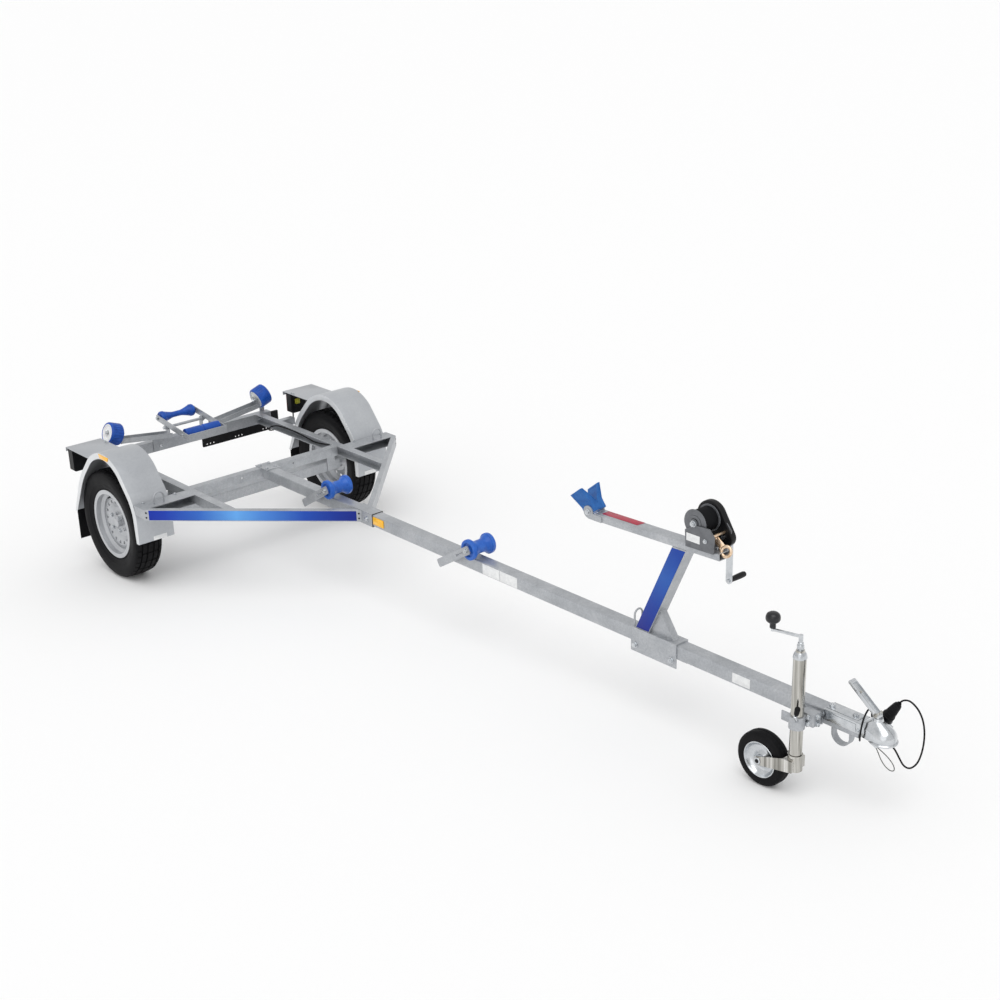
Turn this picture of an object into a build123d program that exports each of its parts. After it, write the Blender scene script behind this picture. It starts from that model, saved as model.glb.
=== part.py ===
"""Unbraked single-axle boat trailer with keel rollers, a rocking cradle and a winch post.

Level frame of the source: millimetres, +X forward to the coupling, +Y left, +Z up,
x = 0 on the wheel axis and z = 0 on the ground under the road wheels.
Finished pieces are written in the parked pose: nose down until the jockey wheel stands
on the same ground, with the origin on the ground at mid length.
"""

import os
from math import asin, atan2, cos, degrees, hypot, pi, radians, sin

from build123d import *

# ---------------------------------------------------------------- road wheels
wheel_radius = 289.0
tyre_half_width = 77.5
tyre_wall = 11.0
bead_radius = 165.0
rim_half_width = 57.0
rim_flange_radius = 182.5
rim_flange_thickness = 4.0
rim_sheet = 4.0
well_radius = 148.0
wheel_centre_y = 685.0
spindle_radius = 17.0
tyre_to_arm = 50.5
hub_radius = 36.0
hub_inner_reach = 70.0
hub_outer_reach = 8.0
cap_radius = 23.0
cap_reach = 34.0
running_clearance = 0.05
wheel_bolt_reach = 49.0
wheel_bolt_radius = 9.0
wheel_bolt_count = 4
vent_reach = 112.0
vent_count = 16
vent_radius = 9.0
tread_drop = 9.0
tread_edge = 12.0
sidewall_drop = 56.0
bead_step = 4.0
disc_bend = 78.0
disc_root = 4.0
disc_crown = 25.0
wheel_bolt_height = 12.0

# ---------------------------------------------------------------- frame
frame_top = 500.0
drawbar_size = 60.0
drawbar_wall = 3.0
drawbar_front = 4120.0
member_height = 50.0
member_wall = 3.0
member_depth = 43.0
crossmember_front = 353.0
rail_outer = 494.0
rail_width = 44.0
stub_outer = 785.0
stub_depth = 90.0
brace_height = 58.0
brace_flange = 25.0
sleeve_wall = 3.0
sleeve_rear = 1150.0
sleeve_length = 150.0
brace_front = 1215.0
saddle_plate = 4.0
saddle_length = 110.0
saddle_half_width = 42.0
saddle_drop = 45.0
web_hole_radius = 4.0
web_hole_y = 160.0
web_hole_drop = 22.0
rail_hole_inset = 12.0
eye_wire = 8.0
eye_half_span = 27.0
eye_height = 58.0
eye_x = 410.0
eye_y = 678.0

# ---------------------------------------------------------------- rear crossmember
rear_front_face = -450.0
rear_height = 60.0
rear_depth = 45.0
rear_wall = 4.0
rear_half_length = 552.0
tab_height = 64.0
tab_length = 30.0
tab_plate = 6.0
tab_inner_y = 505.0
plate_holder_right = 110.0
plate_holder_left = 630.0
plate_holder_bottom = 372.0
plate_holder_top = 480.0
plate_holder_thickness = 4.0
plate_corner = 8.0
plate_slot_starts = (140.0, 330.0, 520.0)
plate_slot_count = 3
plate_slot_pitch = 22.0
plate_slot_radius = 4.0
plate_slot_rise = 14.0

# ---------------------------------------------------------------- axle
axle_x = 210.0
axle_top = 385.0
axle_depth = 70.0
axle_height = 60.0
axle_corner = 8.0
axle_wall = 4.0
hanger_inner_y = 448.0
hanger_plate = 5.0
arm_thickness = 22.0
arm_pivot_radius = 32.0
arm_spindle_radius = 30.0

# ---------------------------------------------------------------- fenders and lamps
tyre_to_fender_inside = 27.5
tyre_to_fender_outside = 19.5
fender_sheet = 2.0
fender_flange = 25.0
fender_bottom = 285.0
fender_rear_x = -330.0
fender_shoulder_rear = (-229.0, 502.0)
fender_crown_rear = (-45.0, 688.0)
fender_crown_front = (165.0, 692.0)
fender_shoulder_front = (350.0, 480.0)
crown_fillet = 95.0
shoulder_fillet = 60.0
shelf_top = 635.0
shelf_rear = -348.0
shelf_sheet = 3.0
shelf_skirt = 22.0
arch_overrun = 60.0
lamp_corner = 12.0
lamp_depth = 46.0
lamp_height = 126.0
lamp_inset = 10.0
lamp_width = 172.0
flap_thickness = 4.0
flap_top = 330.0
flap_bottom = 120.0
flap_inset = 12.0
stay_x = -262.0
stay_length = 40.0
stay_height = 40.0

# ---------------------------------------------------------------- rollers
keel_rollers = (("rear", 977.0), ("mid", 2050.0))        # name, x of the roller's axis
keel_axis_z = 550.0
keel_half_length = 64.0
keel_flange_radius = 48.0
keel_waist_radius = 31.0
keel_waist_half = 18.0
keel_shoulder_radius = 42.0
keel_flange_width = 19.0
keel_chamfer = 4.0
keel_pin_radius = 8.0
keel_plate = 5.0
keel_head_reach = 20.0
keel_plate_width = 40.0
keel_plate_angle = 31.0
keel_roller_gap = 5.0
keel_end_margin = 12.0
keel_bridge = 5.0
keel_bridge_length = 30.0
keel_bridge_bite = 1.0
keel_plate_corner = 10.0
keel_bolt_reach = 6.0
keel_hole_start = 34.0
keel_hole_pitch = 16.0
keel_hole_count = 4
keel_hole_radius = 3.5
clamp_bolt_radius = 5.0

side_roller_y = 472.0
side_roller_z = 617.0
side_roller_tilt = 20.0
side_roller_radius = 60.0
side_roller_half = 37.0
side_pin_radius = 8.0
side_plate_gap = 8.0
side_plate = 5.0
side_plate_width = 60.0
side_plate_drop = 46.0
side_plate_rise = 18.0
side_roller_edge = 6.0
arm_inner_y = 135.0
arm_inner_z = 519.0
arm_outer_y = 437.0
arm_channel = 60.0
arm_height = 27.0
arm_sheet = 3.0
arm_slope = 7.5
foot_bottom = 448.0
foot_length = 90.0
foot_plate = 5.0

cradle_pivot_x = -481.0
cradle_pivot_z = 552.0
cradle_pin_radius = 8.0
cradle_lug_radius = 15.0
cradle_half_width = 120.0
cradle_plate = 5.0
cradle_height = 34.0
cradle_slope = 7.4
cradle_line_rise = 26.0
cradle_rear_reach = 96.0
cradle_front_reach = 252.0
cradle_web_height = 46.0
cradle_bolt_radius = 6.0
ear_plate = 6.0
ear_width = 30.0
ear_gap = 6.0
roller_side_gap = 8.0
bow_roller_reach = 80.0
bow_end_radius = 34.0
bow_waist_radius = 16.0
bow_waist_half = 26.0
bow_drum_width = 26.0
bow_chamfer_run = 8.0
bow_chamfer_drop = 5.0
drum_roller_reach = 190.0
drum_roller_radius = 30.0
drum_roller_edge = 4.0
cradle_corner = 8.0

# ---------------------------------------------------------------- winch post
post_saddle_rear = 3022.0
post_saddle_length = 243.0
post_saddle_bottom = 400.0
post_saddle_plate = 5.0
post_size = 60.0
post_depth = 64.0
post_lean = 24.8
post_foot_x = 3080.0
beam_middle_x = 3140.0
beam_middle_z = 939.0
beam_slope = 1.8
beam_height = 30.0
beam_width = 60.0
beam_rear_reach = 326.0
beam_front_reach = 325.0
beam_wall = 3.0
gusset_rise = 105.0
gusset_run = 120.0
gusset_width = 34.0
gusset_lip = 3.0
far_cut = 500.0
post_bolt_radius = 6.0
post_bolt_inset = 24.0
post_bolt_drop = 10.0
post_bolt_reach = 8.0
root_depth = 1.0
loop_wire = 8.0
loop_height = 72.0
loop_half_span = 22.0
snubber_x = 2793.0
snubber_z = 923.5
snubber_lean = 38.0
snubber_length = 105.0
snubber_thickness = 72.0
snubber_base_height = 40.0
snubber_tip_half = 56.0
snubber_tip_wall = 14.0
snubber_notch = 36.0
ear_bolt_x = 2781.0
ear_bolt_z = 929.0
snubber_ear_radius = 26.0
snubber_ear_plate = 5.0
snubber_ear_height = 26.0
snubber_bolt_radius = 8.0
snubber_bolt_height = 6.0
ear_overlap = 40.0

winch_x = 3354.0
winch_z = 1045.0
winch_half_width = 46.0
winch_plate = 4.0
winch_cheek = ((3316, 958), (3312, 1012), (3362, 1040), (3432, 1044), (3457, 1018), (3455, 962))
winch_base_rear = 3316.0
winch_base_inset = 12.0
drum_flange_radius = 53.0
drum_flange = 3.0
drum_core_radius = 20.0
strap_radius = 46.0
drum_pin_radius = 8.0
drum_bush_radius = 17.5
drum_side_gap = 5.0
input_x = 3425.0
input_z = 985.0
input_radius = 8.0
cover_depth = 20.0
cover_drum_radius = 66.0
cover_input_radius = 33.0
crank_arm_length = 190.0
crank_arm_width = 28.0
crank_arm_thickness = 6.0
grip_radius = 12.0
grip_length = 92.0
grip_edge = 4.0
crank_shaft_inset = 12.0
side_gap = 6.0
hook_back = 21.0
hook_drop = 18.0
hook_reach = 64.0
hook_fall = 40.0
hook_radius = 18.0
hook_wire = 9.0
hook_bar_radius = 5.0
hook_bar_back = 8.0
hook_bar_rise = 6.0

# ---------------------------------------------------------------- coupling
coupling_rear = 3970.0
coupling_wall = 4.0
coupling_skirt = 42.0
neck_end = 4150.0
ball_x = 4205.0
ball_z = 470.0
ball_radius = 25.0
socket_clearance = 0.5
head_radius = 48.0
head_centre_z = 482.0
head_bottom = 455.0
head_boss_radius = 16.0
head_boss_top = 536.0
lever_low = (4178.0, 545.0)
lever_high = (4066.0, 632.0)
lever_width = 28.0
lever_thickness = 16.0
lever_stem = 18.0
neck_bolt_inset = 14.0
neck_bolt_pitch = 102.0
neck_bolt_radius = 10.0
neck_bolt_height = 7.0
skid_x = 4036.0
skid_radius = 41.0
skid_bar = 5.0
skid_width = 28.0
skid_drop = 27.0

plug_x = 4166.0
plug_y = 66.0
plug_z = 503.0
plug_lean = 32.0
plug_length = 86.0
plug_radius = 24.0
plug_tail_radius = 15.0
plug_neck_radius = 8.0
plug_neck = 7.0
cord_lead = 14.0
plug_nose_radius = 18.7
plug_nose = 13.0
holder_bore = 19.0
holder_radius = 25.0
holder_depth = 14.0
holder_floor = 6.0
holder_arm = 30.0
cord_diameter = 6.5
relief_x = 4086.0
relief_length = 16.0
relief_height = 10.0
cable_diameter = 3.5
ferrule_start = (4164, -5, 431.5)
ferrule_end = (4183, -5, 419.5)
ferrule_width = 11.0
ferrule_thickness = 6.0
ferrule_corner = 2.9
wire_diameter = 8.0
arc_share = 0.45
wire_hole_radius = 9.0

# Points of the routes that the plug's cord, the safety cable and the lamp wiring follow.
cord_route = (
    (4086, 0, 434.5), (4102, 0, 434.5), (4118, -14, 433.5), (4131, -34, 437), (4139, -46, 455),
    (4142, -49, 482), (4143, -44, 512), (4141, -30, 537), (4136, -6, 550), (4129, 20, 548),
    (4121, 43, 531), (4113, 56, 503), (4113, 61, 470), (4126, 64, 440), (4154, 65, 422),
    (4188, 64, 414), (4216, 62, 397), (4234, 62, 372), (4254, 62, 348), (4280, 62, 348),
    (4306, 62, 378), (4320, 62, 420), (4327, 62, 470), (4326, 62, 518), (4315, 63, 558),
    (4296, 64, 586), (4276, 65, 600), (4256, 66, 607), (4238, 66, 603.5),
)
cable_route = (
    (4152, -5, 458), (4152, -5, 441), (4167, -5, 430), (4182, -5, 418), (4192, -5, 401),
    (4204, -5, 380), (4222, -5, 362), (4245, -5, 353), (4262, -5, 361), (4258, -5, 380),
    (4236, -5, 400), (4208, -5, 414), (4186, -5, 422.5),
)
wiring_route = (
    (-322, 623, 506), (-322, 623, 470), (-324, 600, 442), (-326, 560, 430), (-327, 510, 428),
    (-326, 462, 430), (-312, 440, 446), (-284, 440, 468), (-240, 453, 482), (-150, 461, 484),
    (-40, 459, 483), (60, 461, 473), (125, 459, 466), (200, 460, 475), (262, 458, 486),
    (300, 446, 488), (326, 420, 482), (330, 370, 476), (330, 60, 474), (331, 4, 472), (390, 0, 470),
    (3900, 0, 470), (4040, 0, 466), (4078, 0, 450),
)

# ---------------------------------------------------------------- jockey wheel
jockey_x = 3918.0
jockey_y = -115.0
mast_radius = 24.0
mast_wall = 3.0
mast_bottom = 332.0
mast_top = 722.0
mast_cap_rise = 26.0
mast_cap_taper = 18.0
mast_top_wall = 6.0
bush_height = 68.0
clamp_bottom = 438.0
clamp_height = 50.0
clamp_ring = 6.0
clamp_plate = 5.0
clamp_length = 100.0
slide_clearance = 0.05
leg_radius = 19.0
fork_bottom = 266.0
fork_collar_radius = 28.0
fork_crown_bottom = 269.0
fork_crown_top = 314.0
fork_crown_rear = 27.0
fork_crown_front = 14.0
leg_top = 700.0
leg_clearance = 0.08
leg_wall = 5.0
leg_showing = 1.0
leg_bush = 20.0
face_gap = 0.3
spindle_length = 90.0
trail = 141.0
jockey_hub_z = 256.0
jockey_radius = 108.0
jockey_half_width = 28.0
jockey_rim_radius = 70.0
jockey_rim_sheet = 4.0
jockey_axle_radius = 8.0
jockey_hub_radius = 15.0
jockey_hub_half = 29.0
jockey_bead = 4.0
jockey_wall_step = 8.0
jockey_tread_step = 14.0
jockey_edge = 12.0
jockey_edge_point = 6.0
jockey_edge_drop = 4.0
fork_plate = 5.0
fork_eye_radius = 17.0
fork_gap = 6.0
crank_rod = 6.0
crank_neck = 8.0
crank_rise = 78.0
crank_reach = 108.0
crank_turn = 14.0
knob_radius = 27.0
knob_height = 42.0
knob_stem = 26.0
knob_edge = 8.0

# ---------------------------------------------------------------- figures worked out
frame_bottom = frame_top - member_height
drawbar_half = drawbar_size / 2
drawbar_bottom = frame_top - drawbar_size
rail_inner = rail_outer - rail_width
stub_front = crossmember_front - member_wall + stub_depth
tyre_inner_y = wheel_centre_y - tyre_half_width
axle_half_length = tyre_inner_y - tyre_to_arm - arm_thickness
fender_inner_y = tyre_inner_y - tyre_to_fender_inside
fender_width = tyre_to_fender_inside + 2 * tyre_half_width + tyre_to_fender_outside
sleeve_half = drawbar_half + sleeve_wall
axle_bottom = axle_top - axle_height
axle_z = axle_top - axle_height / 2
axle_rear = axle_x - axle_depth / 2
axle_front = axle_x + axle_depth / 2
fender_outer_y = fender_inner_y + fender_width
side_roller_x = rear_front_face + foot_plate + arm_channel / 2
fender_mid_y = fender_inner_y + fender_width / 2
rear_leg_slope = (fender_shoulder_rear[0] - fender_rear_x) / (fender_shoulder_rear[1] - fender_bottom)
shoulder_slope = (fender_crown_rear[0] - fender_shoulder_rear[0]) / (
    fender_crown_rear[1] - fender_shoulder_rear[1]
)
shelf_run = shoulder_slope * (shelf_top - fender_shoulder_rear[1])
shelf_front = fender_shoulder_rear[0] + shelf_run + fender_sheet
jockey_hub_x = jockey_x - trail

# The ground touches the road wheels and the jockey wheel: its slope in the level frame.
hub_drop = wheel_radius - jockey_hub_z
hub_distance = hypot(jockey_hub_x, hub_drop)
nose_drop = degrees(asin((wheel_radius - jockey_radius) / hub_distance) - atan2(hub_drop, jockey_hub_x))
turned = Location((0, 0, wheel_radius), (0, nose_drop, 0)) * Location((0, 0, -wheel_radius))

os.makedirs("parts", exist_ok=True)
pieces = {}


def store(piece, label):
    """Keep a finished piece, turned to the parked pose, under its name."""
    pieces[label] = piece.moved(turned)


def side_name(side):
    """Name the side: -1 is right, +1 is left."""
    return "left" if side > 0 else "right"


SIDES = (-1, 1)

# ================================================================ frame
with BuildPart() as drawbar:
    with BuildSketch(Plane.YZ.offset(crossmember_front)):
        with Locations((0, frame_top - drawbar_half)):
            RectangleRounded(drawbar_size, drawbar_size, 2 * drawbar_wall)
            drawbar_inside = drawbar_size - 2 * drawbar_wall
            RectangleRounded(drawbar_inside, drawbar_inside, drawbar_wall, mode=Mode.SUBTRACT)
    extrude(amount=drawbar_front - crossmember_front)
    with BuildSketch(Plane.YZ.offset(sleeve_rear)):
        with Locations((0, frame_top - drawbar_half)):
            Rectangle(2 * sleeve_half, 2 * sleeve_half)
            RectangleRounded(drawbar_size, drawbar_size, 2 * drawbar_wall, mode=Mode.SUBTRACT)
    extrude(amount=sleeve_length)
    skid_inner = skid_radius - skid_bar
    with BuildSketch(Plane.XZ.offset(-skid_width / 2)):
        with Locations((skid_x, drawbar_bottom - skid_drop)):
            Circle(skid_radius)
        with Locations((skid_x, drawbar_bottom)):
            Rectangle(2 * skid_radius, skid_drop, align=(Align.CENTER, Align.MAX))
            Rectangle(2 * skid_radius, skid_drop, align=(Align.CENTER, Align.MIN), mode=Mode.SUBTRACT)
        with Locations((skid_x, drawbar_bottom - skid_drop)):
            Circle(skid_inner, mode=Mode.SUBTRACT)
            Rectangle(2 * skid_inner, skid_drop, align=(Align.CENTER, Align.MIN), mode=Mode.SUBTRACT)
    extrude(amount=skid_width)
    with Locations((relief_x, 0, drawbar_bottom)):
        Box(relief_length, relief_length, relief_height, align=(Align.MAX, Align.CENTER, Align.MAX))
store(drawbar.part, "drawbar")

with BuildPart() as front_crossmember:
    with BuildSketch(Plane.XZ.offset(-rail_inner)):
        with Locations((crossmember_front, frame_top)):
            Rectangle(member_depth, member_height, align=(Align.MAX, Align.MAX))
        with Locations((crossmember_front - member_wall, frame_top - member_height / 2)):
            Rectangle(
                member_depth - member_wall,
                member_height - 2 * member_wall,
                align=(Align.MAX, Align.CENTER),
                mode=Mode.SUBTRACT,
            )
    extrude(amount=2 * rail_inner)
    with Locations(Plane.YZ.offset(crossmember_front)):
        with Locations(
            (-web_hole_y, frame_top - web_hole_drop),
            (web_hole_y, frame_top - web_hole_drop),
            (-rail_inner + rail_hole_inset, frame_top - web_hole_drop),
        ):
            Hole(web_hole_radius, depth=member_wall)
        with Locations((0, frame_top - drawbar_half)):
            Hole(wire_hole_radius, depth=member_wall)
    with BuildSketch(Plane.XY.offset(frame_top)):
        with Locations((crossmember_front, 0)):
            Rectangle(saddle_length, 2 * saddle_half_width)
    extrude(amount=saddle_plate)
    for side in SIDES:
        cheek_start = drawbar_half if side > 0 else -drawbar_half - saddle_plate
        with Locations((crossmember_front, cheek_start, frame_top + saddle_plate)):
            Box(
                saddle_length / 2,
                saddle_plate,
                saddle_plate + saddle_drop,
                align=(Align.MIN, Align.MIN, Align.MAX),
            )
store(front_crossmember.part, "front_crossmember")

brace_run = brace_front - stub_front
brace_fall = stub_outer - sleeve_half
brace_length = hypot(brace_run, brace_fall)


def brace_outline(side, width):
    """Plan of the brace strip of a given width, from the stub's front to the sleeve."""
    rear_width = width * brace_length / brace_run
    front_width = width * brace_length / brace_fall
    return (
        (stub_front, side * stub_outer),
        (brace_front, side * sleeve_half),
        (brace_front - front_width, side * sleeve_half),
        (stub_front, side * (stub_outer - rear_width)),
    )


for side in SIDES:
    with BuildPart() as brace:
        with BuildSketch(Plane.XY.offset(frame_top - brace_height)):
            with BuildLine():
                Polyline(*brace_outline(side, member_wall), close=True)
            make_face()
        extrude(amount=brace_height)
        with BuildSketch(
            Plane.XY.offset(frame_top - member_wall),
            Plane.XY.offset(frame_top - brace_height),
        ):
            with BuildLine():
                Polyline(*brace_outline(side, brace_flange), close=True)
            make_face()
        extrude(amount=member_wall)
    store(brace.part, f"brace_{side_name(side)}")

    with BuildPart() as rail:
        with BuildSketch(Plane.YZ.offset(rear_front_face)):
            with Locations((side * (rail_inner + rail_width / 2), frame_top - member_height / 2)):
                Rectangle(rail_width, member_height)
            with Locations(
                (side * (rail_inner + (rail_width - member_wall) / 2), frame_top - member_height / 2)
            ):
                Rectangle(rail_width - member_wall, member_height - 2 * member_wall, mode=Mode.SUBTRACT)
        extrude(amount=brace_front - rear_front_face)
        with BuildSketch(Plane.XY.offset(frame_bottom - member_wall)):
            with BuildLine():
                inner_line = brace_outline(side, brace_flange)
                Polyline(
                    inner_line[3],
                    inner_line[2],
                    (2 * brace_front, 0),
                    (2 * brace_front, side * 2 * stub_outer),
                    (stub_front, side * 2 * stub_outer),
                    close=True,
                )
            make_face()
        extrude(amount=member_height + 2 * member_wall, mode=Mode.SUBTRACT)
        with Locations((stay_x, side * rail_outer, frame_top - stay_height / 2)):
            Box(
                stay_length,
                fender_inner_y - rail_outer,
                stay_height,
                align=(Align.CENTER, Align.MIN if side > 0 else Align.MAX, Align.CENTER),
            )
    store(rail.part, f"side_rail_{side_name(side)}")

    with BuildPart() as stub:
        stub_back = crossmember_front - member_wall
        stub_span = stub_outer - rail_outer
        with BuildSketch(Plane.XZ.offset(-side * rail_outer)):
            with Locations((stub_back, frame_top)):
                Rectangle(stub_depth, member_height, align=(Align.MIN, Align.MAX))
            with Locations((stub_back + member_wall, frame_top - member_height / 2)):
                Rectangle(
                    stub_depth,
                    member_height - 2 * member_wall,
                    align=(Align.MIN, Align.CENTER),
                    mode=Mode.SUBTRACT,
                )
        extrude(amount=-side * stub_span)
        with BuildSketch(Plane.XZ.offset(-side * stub_outer)):
            with Locations((stub_back, frame_top)):
                Rectangle(stub_depth, member_height, align=(Align.MIN, Align.MAX))
        extrude(amount=side * member_wall)
        with BuildLine(Plane.YZ.offset(eye_x)) as eye_path:
            eye_shoulder = frame_top + eye_height - eye_half_span
            Line(
                (side * eye_y - eye_half_span, frame_top - root_depth),
                (side * eye_y - eye_half_span, eye_shoulder),
            )
            ThreePointArc(
                (side * eye_y - eye_half_span, eye_shoulder),
                (side * eye_y, frame_top + eye_height),
                (side * eye_y + eye_half_span, eye_shoulder),
            )
            Line(
                (side * eye_y + eye_half_span, eye_shoulder),
                (side * eye_y + eye_half_span, frame_top - root_depth),
            )
        with BuildSketch(Plane(origin=eye_path.line @ 0, z_dir=eye_path.line % 0)):
            Circle(eye_wire / 2)
        sweep(path=eye_path.line)
    store(stub.part, f"outer_stub_{side_name(side)}")

# ================================================================ axle
with BuildPart() as axle_beam:
    with BuildSketch(Plane.XZ.offset(-axle_half_length)):
        with Locations((axle_x, axle_z)):
            RectangleRounded(axle_depth, axle_height, axle_corner)
            RectangleRounded(
                axle_depth - 2 * axle_wall,
                axle_height - 2 * axle_wall,
                axle_corner - axle_wall,
                mode=Mode.SUBTRACT,
            )
    extrude(amount=2 * axle_half_length)
    hanger_width = rail_outer + hanger_plate - hanger_inner_y
    for side in SIDES:
        near_y = hanger_inner_y if side > 0 else -hanger_inner_y
        align_y = Align.MIN if side > 0 else Align.MAX
        with Locations((axle_front, near_y, axle_bottom + axle_corner)):
            Box(
                hanger_plate,
                hanger_width,
                frame_bottom - axle_bottom - axle_corner,
                align=(Align.MIN, align_y, Align.MIN),
            )
        with Locations((axle_rear, near_y, axle_bottom + axle_corner)):
            Box(
                hanger_plate,
                hanger_width,
                frame_bottom - axle_bottom - axle_corner,
                align=(Align.MAX, align_y, Align.MIN),
            )
        with Locations((axle_x, near_y, frame_bottom)):
            Box(axle_depth, hanger_width, hanger_plate, align=(Align.CENTER, align_y, Align.MAX))
store(axle_beam.part, "axle_beam")

for side in SIDES:
    with BuildPart() as swing_arm:
        with BuildSketch(Plane.XZ.offset(-side * axle_half_length)):
            with BuildLine():
                with Locations((axle_x, axle_z)):
                    CenterArc((axle_x, axle_z), arm_pivot_radius, 0, 360)
            make_face()
            with Locations((0, wheel_radius)):
                Circle(arm_spindle_radius)
            make_hull()
        extrude(amount=-side * arm_thickness)
        with BuildSketch(Plane.XZ.offset(-side * (axle_half_length + arm_thickness))):
            with Locations((0, wheel_radius)):
                Circle(spindle_radius)
        extrude(amount=-side * (wheel_centre_y - axle_half_length - arm_thickness))
    store(swing_arm.part, f"swing_arm_{side_name(side)}")

# ================================================================ road wheels
for side in SIDES:
    wheel_plane = Plane(
        origin=(0, side * wheel_centre_y, wheel_radius), x_dir=(0, side, 0), z_dir=(1, 0, 0)
    )
    with BuildPart() as tyre:
        with BuildSketch(wheel_plane):
            with BuildLine():
                Polyline(
                    (-rim_half_width, bead_radius),
                    (-rim_half_width, rim_flange_radius + bead_step),
                )
                ThreePointArc(
                    (-rim_half_width, rim_flange_radius + bead_step),
                    (-tyre_half_width, wheel_radius - sidewall_drop),
                    (-tyre_half_width + tread_edge, wheel_radius - tread_drop),
                )
                ThreePointArc(
                    (-tyre_half_width + tread_edge, wheel_radius - tread_drop),
                    (0, wheel_radius),
                    (tyre_half_width - tread_edge, wheel_radius - tread_drop),
                )
                ThreePointArc(
                    (tyre_half_width - tread_edge, wheel_radius - tread_drop),
                    (tyre_half_width, wheel_radius - sidewall_drop),
                    (rim_half_width, rim_flange_radius + bead_step),
                )
                Polyline(
                    (rim_half_width, rim_flange_radius + bead_step),
                    (rim_half_width, bead_radius),
                    (rim_half_width - tyre_wall, bead_radius),
                    (rim_half_width - tyre_wall, rim_flange_radius + tyre_wall),
                )
                ThreePointArc(
                    (rim_half_width - tyre_wall, rim_flange_radius + tyre_wall),
                    (0, wheel_radius - tyre_wall),
                    (-rim_half_width + tyre_wall, rim_flange_radius + tyre_wall),
                )
                Polyline(
                    (-rim_half_width + tyre_wall, rim_flange_radius + tyre_wall),
                    (-rim_half_width + tyre_wall, bead_radius),
                    (-rim_half_width, bead_radius),
                )
            make_face()
        revolve(axis=Axis((0, side * wheel_centre_y, wheel_radius), (0, 1, 0)))
    store(tyre.part, f"tyre_{side_name(side)}")

    flange_out = rim_half_width + rim_flange_thickness
    with BuildPart() as rim:
        with BuildSketch(wheel_plane):
            with BuildLine():
                Polyline(
                    (-flange_out, bead_radius - rim_sheet),
                    (-flange_out, rim_flange_radius),
                    (-rim_half_width, rim_flange_radius),
                    (-rim_half_width, bead_radius),
                    (-rim_half_width + 2 * tyre_wall, bead_radius),
                    (-rim_half_width + 3 * tyre_wall, well_radius),
                    (rim_half_width - 3 * tyre_wall, well_radius),
                    (rim_half_width - 2 * tyre_wall, bead_radius),
                    (rim_half_width, bead_radius),
                    (rim_half_width, rim_flange_radius),
                    (flange_out, rim_flange_radius),
                    (flange_out, bead_radius - rim_sheet),
                    (rim_half_width - 2 * tyre_wall, bead_radius - rim_sheet),
                    (rim_half_width - 3 * tyre_wall, well_radius - rim_sheet),
                    (-rim_half_width + 3 * tyre_wall, well_radius - rim_sheet),
                    (-rim_half_width + 2 * tyre_wall, bead_radius - rim_sheet),
                    close=True,
                )
            make_face()
            with BuildLine():
                Polyline(
                    (disc_root, well_radius - 1),
                    (disc_root + 3 * rim_sheet, well_radius - 1),
                    (disc_crown, vent_reach + vent_radius + rim_sheet),
                    (disc_crown, vent_reach - rim_sheet),
                    (hub_outer_reach, disc_bend),
                    (hub_outer_reach, hub_radius - 1),
                    (hub_outer_reach - rim_sheet, hub_radius - 1),
                    (hub_outer_reach - rim_sheet, disc_bend),
                    (disc_crown - rim_sheet, vent_reach - rim_sheet),
                    (disc_crown - rim_sheet, vent_reach + vent_radius + rim_sheet),
                    close=True,
                )
            make_face()
            with Locations((-hub_inner_reach, spindle_radius + running_clearance)):
                Rectangle(
                    hub_inner_reach + hub_outer_reach,
                    hub_radius - spindle_radius - running_clearance,
                    align=(Align.MIN, Align.MIN),
                )
            with Locations((hub_outer_reach, 0)):
                Rectangle(cap_reach - hub_outer_reach, cap_radius, align=(Align.MIN, Align.MIN))
        revolve(axis=Axis((0, side * wheel_centre_y, wheel_radius), (0, 1, 0)))
        vent_plane = Plane(
            origin=(0, side * wheel_centre_y, wheel_radius), x_dir=(1, 0, 0), z_dir=(0, side, 0)
        )
        with BuildSketch(vent_plane):
            with PolarLocations(vent_reach, vent_count):
                Circle(vent_radius)
        extrude(amount=rim_half_width, mode=Mode.SUBTRACT)
        with BuildSketch(vent_plane.offset(hub_outer_reach - 1)):
            with PolarLocations(wheel_bolt_reach, wheel_bolt_count, 45):
                RegularPolygon(wheel_bolt_radius, 6)
        extrude(amount=wheel_bolt_height)
    store(rim.part, f"rim_{side_name(side)}")

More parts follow.
